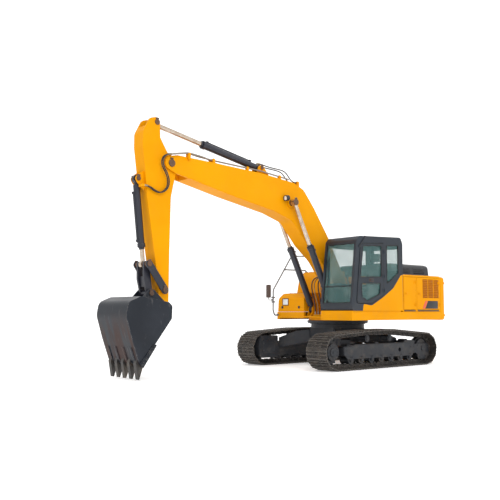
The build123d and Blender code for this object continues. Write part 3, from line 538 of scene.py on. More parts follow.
# ---- Undercarriage fixings ----
# Hexagon bolts and turned caps in plain steel hold the final drives, the roller shafts, the guards and the
# slewing ring. All of them are painted over with the frame.
FRAME_FACE = 146          # outer face of a side frame, from the track's centre
MOTOR_FACE = 320          # inner face of a side frame at the travel motor
ROLLERS = (-1080, -735, -390, -45, 300, 645, 990)
ROLLER_RISE = 208
CARRIER_SHAFT_RISE = 667
YOKE_BOLTS = ((-1770, 300), (-1770, 450), (-1380, 460), (-1380, 250), (-1700, 190), (-1470, 180))
BEAM_BOLTS = ((-1120, 440), (-1240, 330), (-1240, 440), (1150, 430), (1150, 300))
GUARD_BOLTS = ((1240, 240), (1240, 640), (1480, 650), (1690, 600), (1740, 430), (1690, 270), (1460, 230))
MOTOR_COVER = ((1290, 290), (1640, 290), (1680, 340), (1680, 540), (1640, 590), (1290, 590))
COVER_BOLTS = ((1315, 315), (1315, 565), (1645, 360), (1645, 520), (1480, 565), (1480, 315))
PADS = ((-1000, 570, 622), (60, 525, 578), (1010, 500, 552))


def add_bolts(mesh, places, facing, radius=0.013, height=0.012):
    """Hexagon heads on their washers, standing on a surface."""
    for place in places:
        add_turned(mesh, place, facing, (-0.004, 0.003, radius * 1.5, 14), (0.002, height, radius, 6, radius * 0.92))


def around(centre, facing, radius, count, start=0.0):
    """Evenly spaced places on a circle, in metres."""
    turn = Vector(facing).to_track_quat("Z", "Y")
    angles = [start + 2 * pi * number / count for number in range(count)]
    return [centre + turn @ Vector((radius * cos(angle), radius * sin(angle), 0)) for angle in angles]


def add_cap(mesh, foot, facing, radius, height):
    """A turned cover with a chamfered rim and a raised boss in its middle."""
    add_turned(mesh, foot, facing, (-0.006, height, radius, 32),
               (height, height + radius * 0.10, radius, 32, radius * 0.90),
               (height, height + radius * 0.18, radius * 0.32, 20, radius * 0.28))


def add_plate(mesh, rows, low, high):
    """A slab whose outline is given from the slew axis."""
    add_slab(mesh, [(x + SLEW_X, z) for x, z in rows], low, high)


def add_blocks(mesh, easing, *corners):
    """Squared bars, each between two corners in millimetres from the slew axis, their edges eased in metres."""
    for first, last in corners:
        first, last = at(*first), at(*last)
        size = [abs(b - a) for a, b in zip(first, last)]
        place = Matrix.Translation((first + last) / 2) @ Matrix.Diagonal((*size, 1))
        verts = bmesh.ops.create_cube(mesh, size=1, matrix=place)["verts"]
        if easing:
            ease(mesh, easing, list({edge for vert in verts for edge in vert.link_edges}))


for side, word in ((1, "left"), (-1, "right")):
    out = Vector((0, side, 0))
    centre = side * GAUGE_HALF
    face = centre + side * FRAME_FACE
    inner = centre - side * MOTOR_FACE
    drive, caps, cover, guard, lugs = [bmesh.new() for piece in range(5)]

    hub = at(SPROCKET_X, centre + side * 150, SPROCKET_Z)
    add_cap(drive, hub, out, 0.098, 0.012)
    add_bolts(drive, around(hub, out, 0.145, 12), out, 0.012)
    add_bolts(drive, around(hub + out * 0.020, out, 0.060, 3, 0.5), out, 0.008, 0.008)
    add_bolts(drive, around(hub - out * 0.055, out, 0.198, 20), out, 0.009)

    for x in ROLLERS:
        for facing, y in ((out, face), (-out, centre - side * FRAME_FACE)):
            shaft = at(x, y, ROLLER_RISE)
            add_cap(caps, shaft, facing, 0.034, 0.008)
            add_bolts(caps, [shaft + Vector((along, 0, 0.068)) for along in (-0.026, 0.026)], facing, 0.010)
    for x in CARRIERS:
        shaft = at(x, centre + side * 122, CARRIER_SHAFT_RISE)
        add_cap(caps, shaft, out, 0.046, 0.010)
        add_bolts(caps, around(shaft + out * 0.010, out, 0.034, 3, 0.3), out, 0.006, 0.006)
    idler = at(IDLER_X, face, IDLER_Z)
    add_cap(caps, idler, out, 0.064, 0.012)
    add_bolts(caps, around(idler + out * 0.012, out, 0.046, 4, 0.4), out, 0.008, 0.008)
    for places, radius in ((YOKE_BOLTS, 0.014), (BEAM_BOLTS, 0.012)):
        add_bolts(caps, [at(x, face, z) for x, z in places], out, radius)

    add_plate(cover, MOTOR_COVER, inner + side * 4, inner - side * 8)
    ease(cover, 0.003)
    add_bolts(cover, [at(x, inner - side * 8, z) for x, z in COVER_BOLTS], -out, 0.009)
    add_bolts(guard, [at(x, inner, z) for x, z in GUARD_BOLTS], -out, 0.014)
    add_blocks(lugs, 0.006, *(((x - 60, centre - 90, low), (x + 60, centre + 90, high)) for x, low, high in PADS))

    for name, mesh in (("final_drive_bolts", drive), ("frame_caps", caps), ("travel_motor_cover", cover),
                       ("travel_motor_guard_bolts", guard), ("track_frame_pads", lugs)):
        finished(f"{name}_{word}", mesh, frame_grey, "undercarriage")

ring_bolts = bmesh.new()
add_bolts(ring_bolts, around(at(0, 0, 1004), -UP, 0.702, 40), -UP, 0.012, 0.016)
finished("slewing_ring_bolts", ring_bolts, frame_grey, "upper")

# ---- Upper structure ----
# Folded and welded sheet panels on a heavy deck, all sprayed in the same golden yellow, with a cast
# counterweight behind them.
machine_yellow = sprayed_paint("machine_yellow_paint", (0.80, 0.325, 0.0), (0.73, 0.285, 0.0), (0.30, 0.13, 0.02),
                               0.44, dust=0.20, dust_top=2.0, clear=0.0, sheen=0.06)
coat(machine_yellow, "platform", "counterweight", "engine_bay", "service_door_left_front",
     "service_door_left_rear", "service_door_right", "fuel_tank", "toolbox", "side_panel_left", "boom", "arm")

hood_black = sprayed_paint("hood_black_paint", (0.013, 0.014, 0.017), (0.020, 0.021, 0.026), (0.12, 0.12, 0.12), 0.38)
coat(hood_black, "engine_hood", "exhaust", "work_lamp")

engine_cast = sprayed_paint("engine_casting", (0.10, 0.10, 0.11), (0.14, 0.13, 0.12), (0.3, 0.3, 0.3), 0.55, 0.5)
coat(engine_cast, "engine_block", "radiator")

rail_grey = sprayed_paint("rail_grey_paint", (0.16, 0.16, 0.165), (0.20, 0.20, 0.20), (0.4, 0.38, 0.35), 0.40)
coat(rail_grey, "handrail")

mirror_brown = sprayed_paint("mirror_shell", (0.055, 0.028, 0.018), (0.075, 0.04, 0.026), (0.2, 0.2, 0.2), 0.45)
coat(mirror_brown, "mirror")

# ---- Housing trim ----
# Rubber-lipped vents, pressed latches and louvre blades on the service doors, with a blank plate and a red
# stripe under the louvres. The blades are riveted in front of a dark brown sheet, which is painted shade inside the
# slots, and blades and strips are painted a darker burnt orange as painted shade on the louvres.
DOOR_FACE = 1382          # outer face of a service door
LOUVRE_COLUMNS = (-1549, -1774, -1999)      # the front end of each column of blades
LOUVRE_ROWS = 11
LOUVRE_PITCH = 43
LATCH_RISE = 1700
# A latch's dish and paddle: easing, then their back, front, inner, outer, lower and upper sides.
LATCH = ((0.006, -62, 62, -4, 5, -34, 34), (0.004, -50, 18, 3, 14, -16, 20))
VENTS = ((-2210, -1340), (-1255, -815))

# A dark brown sheet with a woven bump behind the louvre slots: painted shade that stands in for the shade inside them.
slot_shade_sheet = two_tone("louvre_slot_painted_shade", ((14, 5), 0.4, 0.7), ((0.035, 0.014, 0.005), (0.09, 0.036, 0.010)),
                        (0.5, 0.3), (160, 0.0, 0.4, 0.001), cloth=True)
# Burnt orange for the louvre blades and the strips between them: painted shade on the louvres, darker than the yellow
# paint.
louvre_shade_paint = sprayed_paint("louvre_painted_shade_orange", (0.50, 0.170, 0.006), (0.42, 0.135, 0.006), (0.30, 0.13, 0.02),
                             0.45, dust_top=2.2, clear=0.0, sheen=0.15)
red_stripe = two_tone("red_orange_stripe", ((3, 4), 0.35, 0.7), ((0.62, 0.060, 0.012), (0.70, 0.10, 0.020)),
                      (0.28, 0.12), (90, 3, 0.05, 0.0005), Specular_IOR_Level=0.5, Coat_Weight=0.3)


def add_blade(mesh, place, lean, width, depth):
    """A thin slat, leant over by so many degrees."""
    turn = Matrix.Rotation(radians(lean), 4, "X") @ Matrix.Diagonal((width, 0.003, depth, 1))
    bmesh.ops.create_cube(mesh, size=1, matrix=Matrix.Translation(place) @ turn)


# The sheet behind the louvres: painted shade inside the slots.
shade_sheet_mesh = bmesh.new()
add_blocks(shade_sheet_mesh, 0, ((-2215, 1344, 1585), (-1540, 1350, 2070)))
finished("rear_door_slot_painted_shade", shade_sheet_mesh, slot_shade_sheet, "service_door_left_rear")

# Blades and strips in the burnt orange that is painted shade on the louvres.
blades = bmesh.new()
for front in LOUVRE_COLUMNS:
    for row in range(LOUVRE_ROWS):
        add_blade(blades, at(front - 102.5, DOOR_FACE - 11, 2042 - row * LOUVRE_PITCH), 38, 0.200, 0.030)
    for row in range(LOUVRE_ROWS - 1):
        strip = 2026 - row * LOUVRE_PITCH
        add_blocks(blades, 0.002, ((front - 205, DOOR_FACE - 2, strip - 14), (front, DOOR_FACE + 4, strip)))
finished("rear_door_louvres", blades, louvre_shade_paint, "service_door_left_rear")

plate = bmesh.new()
add_plate(plate, ((-2158, 1340), (-1640, 1340), (-1760, 1530), (-2158, 1530)), DOOR_FACE - 1, DOOR_FACE + 5)
ease(plate, 0.002)
for x, z in ((-2142, 1356), (-2142, 1514), (-1680, 1356), (-1775, 1514)):
    add_turned(plate, at(x, DOOR_FACE + 4, z), (0, 1, 0), (0, 0.004, 0.006, 12, 0.004))
finished("rear_door_blank_plate", plate, hood_black, "service_door_left_rear")

stripe = bmesh.new()
add_plate(stripe, ((-1624, 1340), (-1530, 1340), (-1650, 1530), (-1744, 1530)), DOOR_FACE - 1, DOOR_FACE + 4)
finished("rear_door_stripe", stripe, red_stripe, "service_door_left_rear")

# Each latch is a pressed dish with a paddle handle and a round lock.
for body, x, side in (("service_door_left_front", -905, 1), ("service_door_left_rear", -1420, 1),
                      ("service_door_right", -1250, -1)):
    latch = bmesh.new()
    for easing, back, front, near, far, low, high in LATCH:
        add_blocks(latch, easing, ((x + back, side * (DOOR_FACE + near), LATCH_RISE + low),
                                   (x + front, side * (DOOR_FACE + far), LATCH_RISE + high)))
    add_turned(latch, at(x + 40, side * DOOR_FACE, LATCH_RISE), (0, side, 0), (0, 0.012, 0.013, 20, 0.011))
    finished(f"{body}_latch", latch, machine_yellow, body)

vents = bmesh.new()
for back, front in VENTS:
    for side in (1, -1):
        add_blocks(vents, 0.003, ((back, side * 1372, 1276), (front, side * 1385, 1304)))
        add_blocks(vents, 0, *(((x, side * 1384, 1280), (x + 8, side * 1388, 1300))
                               for x in range(back + 15, front - 45, 60)))
finished("housing_vent_strips", vents, hood_black, "upper")

# ---- Engine cover trim ----
# Slanted blades behind the cover's slots, three pressed panels on its top and two rubber latches. The exhaust
# has two band clamps and a flange bolted round its foot.
EXHAUST = (-1500, -810)
SLOT_ENDS = (-2080, -1500)
SLOT_SIDES = ((1030, 38), (-680, -38))      # across, and the blades' lean
SLOT_ROWS, SLOT_PITCH = 4, 42
COVER_PANELS = ((-560, -200), (-20, 340), (520, 880))

cover = bmesh.new()
for back in SLOT_ENDS:
    for row in range(SLOT_ROWS):
        for y, lean in SLOT_SIDES:
            add_blade(cover, at(back + 220, y, 2216 + row * SLOT_PITCH), lean, 0.436, 0.026)
add_blocks(cover, 0.005, *(((-2120, low, 2434), (-950, high, 2446)) for low, high in COVER_PANELS))
for y in (-300, 650):
    add_blocks(cover, 0.006, ((-806, y - 30, 2200), (-786, y + 30, 2330)))
    add_blocks(cover, 0.005, ((-800, y - 18, 2160), (-780, y + 18, 2215)))
finished("engine_cover_panels", cover, hood_black, "engine_hood")

clamps = bmesh.new()
for z in (2230, 2400):
    add_turned(clamps, at(*EXHAUST, z), UP, (0, 0.022, 0.061, 32))
    add_blocks(clamps, 0.003, ((-1512, -885, z + 2), (-1488, -868, z + 20)))
add_bolts(clamps, around(at(*EXHAUST, 2152), UP, 0.085, 4, pi / 4), UP, 0.010)
add_blocks(clamps, 0.003, ((-1600, -910, 2148), (-1400, -710, 2156)))
finished("exhaust_clamps", clamps, hood_black, "upper")

# ---- Walkway, tank and toolbox fittings ----
# Studded anti-slip pads bolted to the flat tops, a ribbed filler cap with its lock, and a glass lamp in a
# pressed bezel on the toolbox nose.
STUD_PITCH = 50
FILLER = (-430, -1050)
WALKWAYS = (((90, -1150), (540, -560), 1722), ((-700, -1300), (-540, -520), 2290), ((-320, -1240), (-270, -560), 2290),
            ((-2230, -1250), (-1640, -960), 2150), ((-2230, 1120), (-820, 1300), 2150), ((640, -400), (700, 400), 1160))

step_rubber = two_tone("anti_slip_rubber", ((7, 6, 0.6), 0.4, 0.7), ((0.018, 0.018, 0.019), (0.12, 0.10, 0.08)),
                       (0.75, 0), (240, 3, 0.35, 0.001), 0.5)
clear_lens = Finish("lamp_lens_glass", Roughness=0.08, Specular_IOR_Level=0.7, Coat_Weight=0.4)
ribs = clear_lens.bands("Z", 24.0)
clear_lens.set("Base Color", clear_lens.mix(ribs, (0.62, 0.66, 0.68), (0.86, 0.88, 0.88)))
clear_lens.bumps(ribs, 0.5, 0.002)

pads = bmesh.new()
for (x_low, y_low), (x_high, y_high), z in WALKWAYS:
    add_blocks(pads, 0.001, ((x_low, y_low, z - 1), (x_high, y_high, z + 4)))
    for x in range(x_low + 25, x_high - 24, STUD_PITCH):
        for y in range(y_low + 25, y_high - 24, STUD_PITCH):
            add_turned(pads, at(x, y, z), UP, (0.003, 0.008, 0.012, 8, 0.008))
finished("anti_slip_pads", pads, step_rubber, "upper")

filler = bmesh.new()
for place in around(at(*FILLER, 2315), UP, 0.070, 16):
    add_turned(filler, place, UP, (-0.018, 0.018, 0.006, 8))
add_turned(filler, at(*FILLER, 2288), UP, (0, 0.012, 0.095, 36, 0.090))
add_blocks(filler, 0.005, ((-445, -1100, 2338), (-415, -1000, 2350)))
finished("filler_cap_grip", filler, hood_black, "upper")

bezel = bmesh.new()
add_blocks(bezel, 0.003, ((702, -1196, 1420), (716, -984, 1437)), ((702, -1196, 1578), (716, -984, 1595)),
           ((702, -1196, 1437), (716, -1183, 1578)), ((702, -997, 1437), (716, -984, 1578)))
for y in (-1210, -620):
    add_blocks(bezel, 0.004, ((698, y - 30, 1345), (708, y + 30, 1405)))
    add_turned(bezel, at(700, y, 1375), (1, 0, 0), (0, 0.016, 0.012, 20, 0.010))
finished("toolbox_bezel", bezel, hood_black, "upper")

lamp_glass = bmesh.new()
add_blocks(lamp_glass, 0.004, ((700, -1182, 1438), (710, -998, 1577)))
finished("toolbox_lamp_lens", lamp_glass, clear_lens.material, "upper")

# ---- Counterweight and rail fittings ----
# Two forged lifting eyes are cast into the counterweight. The rail is clamped with saddles, and the mirror has
# a silvered glass in its shell.
EYE_X = -2500
WEIGHT_BACK = -2690
WEIGHT_HALF = 1378

eyes = bmesh.new()
for y in (-720, 720):
    turns = [radians(turn) for turn in range(0, 181, 15)]
    arch = [at(EYE_X, y, 2128) + Vector((0, 0.075 * cos(turn), 0.085 * sin(turn))) for turn in turns]
    for start, end in zip(arch, arch[1:]):
        add_rod(eyes, start, end, 0.018, 14)
    for shift in (-75, 75):
        add_turned(eyes, at(EYE_X, y + shift, 2105), UP, (0, 0.025, 0.030, 20, 0.022))
finished("counterweight_lifting_eyes", eyes, machine_yellow, "upper")

plugs = bmesh.new()
for side in (1, -1):
    add_bolts(plugs, [at(-2440, side * WEIGHT_HALF, z) for z in (1180, 1980)], (0, side, 0), 0.016)
for y in (-330, 0, 330):
    add_cap(plugs, at(WEIGHT_BACK, y, 1250), (-1, 0, 0), 0.045, 0.002)
finished("counterweight_plugs", plugs, machine_yellow, "upper")

saddles = bmesh.new()
add_blocks(saddles, 0.006, ((845, -1378, 1490), (925, -1322, 1530)), ((845, -1378, 1600), (925, -1322, 1640)),
           ((-722, -1380, 2286), (-668, -1324, 2310)), ((700, -1380, 1170), (752, -1322, 1210)),
           ((460, -1380, 2312), (500, -1322, 2352)))
finished("rail_clamps", saddles, rail_grey, "upper")

silver = two_tone("mirror_glass", ((5, 4), 0.4, 0.7), ((0.82, 0.84, 0.85), (0.68, 0.70, 0.71)), (0.04, 0.10),
                  (30, 2, 0.02, 0.0005), Metallic=1.0)
mirror_face = bmesh.new()
add_blocks(mirror_face, 0.002, ((953, -1484, 1628), (958, -1364, 1927)))
finished("mirror_face", mirror_face, silver, "upper")

# ---- Cab ----
# A pressed and welded steel cab, sprayed in charcoal and bolted to the deck. Its tinted panes are bonded into
# black rubber seals.
cab_charcoal = sprayed_paint("cab_charcoal_paint", (0.011, 0.017, 0.026), (0.016, 0.024, 0.035), (0.15, 0.15, 0.16),
                             0.36, dust_top=1.9, clear=0.05, sheen=0.35)
coat(cab_charcoal, "cab_frame", "cab_door")
coat(hood_black, "cab_seat")

glass = Finish("tinted_cab_glass", Roughness=0.03, Specular_IOR_Level=0.7, Coat_Weight=0.5)
smear = glass.window(glass.noise(2.2, 5, 0.6, warp=0.6), 0.42, 0.72)
glass.set("Base Color", glass.mix(smear, (0.10, 0.25, 0.24), (0.17, 0.31, 0.29)))
glass.set("Alpha", 0.23 + smear * 0.08)
coat(glass.material, "cab_glass", "cab_door_glass")

# ---- Cab trim ----
# Rubber seals hold every pane. The windscreen has a cross bar and a wiper, the door a moulded handle dish, and
# the cab post a grab rail, with a stay from the roof above it.
CAB_WALL = 455            # cab wall beside the boom
GRAB_RAIL = ((1062, 1392, 1560), (968, 1392, 2330))
# Window outlines: along, up and corner radius.
REAR_PANE = ((-604, 2156, 42), (-156, 1886, 42), (-156, 2804, 42), (-604, 2834, 42))
BOOM_SIDE_PANE = ((-564, 1896, 30), (764, 1896, 30), (764, 2764, 30), (-564, 2764, 30))
DOOR_PANES = (((22, 2044, 54), (788, 2022, 54), (674, 2753, 54), (17, 2793, 54)),
              ((62, 1933, 44), (743, 1913, 44), (733, 1590, 64), (538, 1497, 64), (87, 1660, 64)))
DOOR_EDGE = ((-44, 1652, 40), (386, 1452, 160), (874, 1468, 40), (889, 1541, 40), (742, 2784, 60), (-44, 2834, 40))

seal_rubber = two_tone("window_seal_rubber", ((6, 5), 0.45, 0.75), ((0.008, 0.008, 0.009), (0.045, 0.045, 0.048)),
                       (0.6, 0), (150, 3, 0.15, 0.0008), 0.5)


def rounded(rows, steps=7):
    """An outline's points in millimetres, each corner turned in a few steps."""
    points = []
    for before, (x, z, radius), after in zip(rows[-1:] + rows[:-1], rows, rows[1:] + rows[:1]):
        corner = Vector((x, z))
        back = (Vector(before[:2]) - corner).normalized()
        ahead = (Vector(after[:2]) - corner).normalized()
        turn = back.dot(ahead)
        reach = radius * ((1 + turn) / (1 - turn)) ** 0.5
        start, end = corner + back * reach, corner + ahead * reach
        for share in (step / steps for step in range(steps + 1)):
            points.append(start * (1 - share) ** 2 + corner * 2 * share * (1 - share) + end * share ** 2)
    return points


def add_ring(mesh, rows, low, high, width):
    """A flat ring just inside an outline, as wide as a seal, solid across the machine between two places."""
    face = mesh.faces.new([mesh.verts.new(at(point.x, low, point.y)) for point in rounded(rows)])
    face.normal_update()
    rim = bmesh.ops.inset_individual(mesh, faces=[face], thickness=width / 1000, use_even_offset=True)["faces"]
    bmesh.ops.delete(mesh, geom=[face], context="FACES_ONLY")
    slide(mesh, bmesh.ops.extrude_face_region(mesh, geom=rim), (0, (high - low) / 1000, 0))


seals = bmesh.new()
add_ring(seals, REAR_PANE, 1388, 1404, 20)
add_ring(seals, BOOM_SIDE_PANE, CAB_WALL - 4, CAB_WALL + 4, 22)
for low, high in ((508, 532), (1323, 1347)):
    add_plate(seals, ((1013, 1452), (1034, 1452), (869, 2806), (848, 2806)), low, high)
add_blocks(seals, 0.004, ((1004, 508, 1448), (1034, 1347, 1474)), ((846, 508, 2782), (874, 1347, 2808)),
           ((968, 510, 1824), (990, 1345, 1850)))
add_blocks(seals, 0.003, ((-762, 527, 2222), (-738, 1328, 2240)), ((-762, 527, 2750), (-738, 1328, 2768)),
           ((-762, 527, 2240), (-738, 545, 2750)), ((-762, 1310, 2240), (-738, 1328, 2750)))
finished("cab_window_seals", seals, seal_rubber, "upper")

door_seals = bmesh.new()
for pane in DOOR_PANES:
    add_ring(door_seals, pane, 1402, 1412, 20)
add_ring(door_seals, DOOR_EDGE, 1404, 1410, 12)
finished("cab_door_seals", door_seals, seal_rubber, "cab_door")

handle = bmesh.new()
add_blocks(handle, 0.004, ((318, 1405, 1944), (470, 1413, 2012)))
add_turned(handle, at(452, 1410, 1978), (0, 1, 0), (0, 0.010, 0.012, 20, 0.010))
finished("cab_door_handle_dish", handle, mirror_brown, "cab_door")

wiper = bmesh.new()
add_cap(wiper, at(1031, 640, 1500), (1, 0, 0.1), 0.026, 0.012)
add_rod(wiper, at(1046, 640, 1500), at(952, 600, 2260), 0.007, 10, 0.005)
add_plate(wiper, ((975, 1920), (984, 1920), (908, 2530), (899, 2530)), 592, 606)
finished("windscreen_wiper", wiper, seal_rubber, "upper")

rails = bmesh.new()
add_rod(rails, at(*GRAB_RAIL[0]), at(*GRAB_RAIL[1]), 0.012, 16)
for x, y, z in GRAB_RAIL:
    add_rod(rails, at(x - 48, y - 2, z), at(x + 2, y, z), 0.011, 14)
add_blocks(rails, 0.004, ((560, 1392, 2930), (612, 1412, 2972)), ((766, 1398, 2706), (806, 1418, 2748)))
add_rod(rails, at(587, 1412, 2950), at(787, 1412, 2734), 0.010, 14)
finished("cab_grab_rail_and_stay", rails, hood_black, "upper")

hinges = bmesh.new()
add_blocks(hinges, 0.005, *(((x - 40, 640, 2962), (x + 40, 668, 2988)) for x in (-300, 180)),
           ((-742, 480, 1300), (-728, 600, 1420)))
finished("roof_hatch_hinges", hinges, hood_black, "upper")

# ---- Cab interior ----
# Moulded consoles with a control lever on each, a monitor on the right post, two travel levers with pedals,
# and the seat's suspension under its gaiter.
CAB_FLOOR = 1352
# A control lever from its gaiter up: lower and upper end (along, up), radius, sides and upper radius.
LEVER = ((285, 1900, 300, 1960, 0.030, 24, 0.016), (300, 1955, 318, 2040, 0.010, 14, None),
         (318, 2030, 336, 2130, 0.021, 20, 0.027), (336, 2128, 339, 2144, 0.027, 20, 0.018))

console_plastic = two_tone("moulded_console_plastic", ((3, 4), 0.35, 0.7),
                           ((0.030, 0.031, 0.034), (0.050, 0.050, 0.054)), (0.5, 0.15), (320, 2, 0.25, 0.0006))
inside = bmesh.new()
for low, high in ((560, 690), (1190, 1300)):
    add_blocks(inside, 0.020, ((-150, low, CAB_FLOOR), (350, high, 1880)))
    add_blocks(inside, 0.018, ((-170, low - 4, 1878), (290, high + 4, 1925)))
    for x, z, x_up, z_up, radius, sides, tip in LEVER:
        add_rod(inside, at(x, (low + high) / 2, z), at(x_up, (low + high) / 2, z_up), radius, sides, tip)
for fold in range(6):
    inset, low = 8 * (fold % 2), 1360 + fold * 52
    add_blocks(inside, 0.012, ((-195 + inset, 770 + inset, low), (245 - inset, 1110 - inset, low + 50)))
add_blocks(inside, 0.010, ((-215, 745, 1672), (265, 1135, 1702)))
for y in (850, 960):
    add_blocks(inside, 0.006, ((560, y - 45, CAB_FLOOR), (740, y + 45, CAB_FLOOR + 20)))
    add_rod(inside, at(600, y, 1365), at(700, y, 1790), 0.011, 14)
    add_rod(inside, at(698, y, 1780), at(720, y, 1880), 0.019, 18, 0.021)
add_blocks(inside, 0.012, ((700, 560, 1760), (740, 780, 1930)))
add_rod(inside, at(760, 530, CAB_FLOOR), at(720, 640, 1800), 0.020, 16)
add_blocks(inside, 0.030, ((-690, 520, CAB_FLOOR), (-520, 1330, 1900)))
finished("cab_controls", inside, console_plastic, "upper")

# ---- Operator's seat ----
# Moulded foam cushions under a woven dark cloth with sewn channels: the base, the back and the head rest. Steel
# posts carry the back and the head rest.
cloth = Finish("woven_seat_cloth", Roughness=0.9, Sheen_Weight=0.3)
weave = cloth.bands("Y", 190.0) * 0.5 + cloth.bands("Z", 190.0) * 0.5
worn = cloth.window(cloth.noise(4, 5), 0.45, 0.75)
tone = cloth.mix(weave, (0.016, 0.017, 0.020), (0.045, 0.047, 0.052))
cloth.set("Base Color", cloth.mix(worn * 0.4, tone, (0.085, 0.082, 0.078)))
cloth.bumps(weave, 0.4, 0.0008)


def cushion(name, low, high, thin, channels, lean=0.0):
    """A stuffed pad between two corners: crowned across its faces, drawn in between its corners and sewn in
    channels. thin is the axis through it, and lean tips it back in degrees."""
    low, high = at(*low), at(*high)
    mesh = bmesh.new()
    bmesh.ops.create_cube(mesh, size=2)
    bmesh.ops.subdivide_edges(mesh, edges=mesh.edges[:], cuts=15, use_grid_fill=True)
    wide, tall = [axis for axis in range(3) if axis != thin]
    for vert in mesh.verts:
        u, v = vert.co[wide], vert.co[tall]
        crown = 0.58 + 0.42 * (1 - u ** 4) * (1 - v ** 4)
        seam = sum(0.10 * max(0.0, 1 - abs(u - place) / 0.07) for place in channels)
        vert.co[thin] *= (crown - seam) * (0.93 if abs(u) > 0.99 or abs(v) > 0.99 else 1)
        vert.co[wide] = u * (1 - 0.05 * (1 - v * v) * abs(u) ** 3) * (1 - 0.035 * abs(v) ** 8)
        vert.co[tall] = v * (1 - 0.05 * (1 - u * u) * abs(v) ** 3) * (1 - 0.035 * abs(u) ** 8)
    for number in range(3):
        bmesh.ops.smooth_vert(mesh, verts=mesh.verts[:], factor=0.5, use_axis_x=True, use_axis_y=True,
                              use_axis_z=True)
    bmesh.ops.scale(mesh, verts=mesh.verts[:], vec=(high - low) / 2)
    bmesh.ops.rotate(mesh, verts=mesh.verts[:], cent=(0, 0, 0), matrix=Matrix.Rotation(radians(lean), 3, "Y"))
    bmesh.ops.translate(mesh, verts=mesh.verts[:], vec=(low + high) / 2)
    piece = finished(name, mesh, cloth.material, "upper", 180)
    rounding = piece.modifiers.new("rounding", "SUBSURF")
    rounding.levels = rounding.render_levels = 1
    return piece


seat_base = cushion("seat_cushion", (-240, 702, 1702), (298, 1178, 1838), 2, (-0.45, 0.1, 0.6))
cushion("seat_back", (-372, 706, 1812), (-228, 1174, 2416), 0, (-0.62, 0.62), -2)
cushion("seat_head_rest", (-362, 806, 2440), (-258, 1074, 2636), 0, (0.0,), -2)
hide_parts("cab_seat")

posts = bmesh.new()
for y in (890, 990):
    add_turned(posts, at(-312, y, 2380), UP, (0, 0.090, 0.009, 14))
for y in (716, 1164):
    add_turned(posts, at(-300, y, 1730), UP, (0, 0.100, 0.022, 20))
finished("head_rest_posts", posts, rail_grey, "upper")

# ---- Cylinders ----
# Welded steel barrels and a forged linkage, sprayed in near-black navy. The rods are ground and chromed, with a
# warm cast, and the pipes on the boom are drawn steel.
cylinder_navy = sprayed_paint("cylinder_navy_paint", (0.014, 0.016, 0.026), (0.020, 0.022, 0.034), (0.2, 0.17, 0.13),
                              0.33, 0.4)
coat(cylinder_navy, "boom_cylinder_barrels", "arm_cylinder_barrel", "bucket_cylinder_barrel", "bucket_levers",
     "bucket_link")

bright_chrome = two_tone("rod_chrome", ((6, 5), 0.3, 0.75), ((0.62, 0.54, 0.45), (0.44, 0.33, 0.24)), (0.20, 0.18),
                         (160, 2, 0.05, 0.0005), Metallic=0.9)
coat(bright_chrome, "boom_cylinder_rods", "arm_cylinder_rod", "bucket_cylinder_rod")

pipe_steel = sprayed_paint("pipe_steel", (0.20, 0.17, 0.14), (0.27, 0.24, 0.20), (0.4, 0.38, 0.35), 0.38)
coat(pipe_steel, "boom_pipes")

# ---- Pins ----
# Hardened pins join the boom, the arm, the cylinders and the bucket. A keeper plate with two bolts stops each
# one from turning, and grease reaches it through a nipple in its end.
pin_steel = sprayed_paint("pin_head_brown", (0.085, 0.040, 0.020), (0.13, 0.065, 0.035), (0.34, 0.30, 0.26), 0.42, 0.4)
# Each pin: along, up, its face across, its radius, and how far it shows behind that face.
PINS = (
    ("upper", ((-86, 1657, 286, 62, 0), (527, 1320, 404, 52, 120))),
    ("boom", ((1750, 3740, 382, 72, 150), (2550, 4460, 131, 40, 0))),
    ("arm", ((5008, 4215, 213, 74, 0), (5330, 5000, 166, 56, 160), (5700, 3840, 101, 46, 98),
             (5150, 1690, 240, 56, 30))),
    ("bucket_levers", ((5515, 2185, 240, 50, 232),)),
    ("bucket", ((5440, 1620, 205, 48, 30), (5137, 1308, 211, 64, 0))),
)


def add_pin(mesh, x, z, y, side, size, reach):
    """A pin's end on a face at y, in millimetres: chamfered head, grease nipple and keeper plate."""
    out = Vector((0, side, 0))
    radius = size / 1000
    add_turned(mesh, at(x, side * y, z), out, (-0.008 - reach / 1000, 0.014, radius, 32),
               (0.014, 0.020, radius, 32, radius * 0.88), (0.018, 0.028, 0.007, 6, 0.005))
    add_blocks(mesh, 0.003, ((x - 36, side * (y + 1), z + size * 0.86), (x + 36, side * (y + 9), z + size + 34)))
    add_bolts(mesh, [at(x + across, side * (y + 9), z + size + 18) for across in (-22, 22)], out, 0.008, 0.009)


for body, rows in PINS:
    pins = bmesh.new()
    for x, z, y, size, reach in rows:
        for side in (1, -1):
            add_pin(pins, x, z, y, side, size, reach)
    finished(f"{body}_pins", pins, pin_steel, body)

# ---- Cylinder glands ----
# Each barrel ends in a bolted gland with a rubber wiper that keeps dirt off the rod. Flanges with four bolts
# close the steel pipes that feed it.

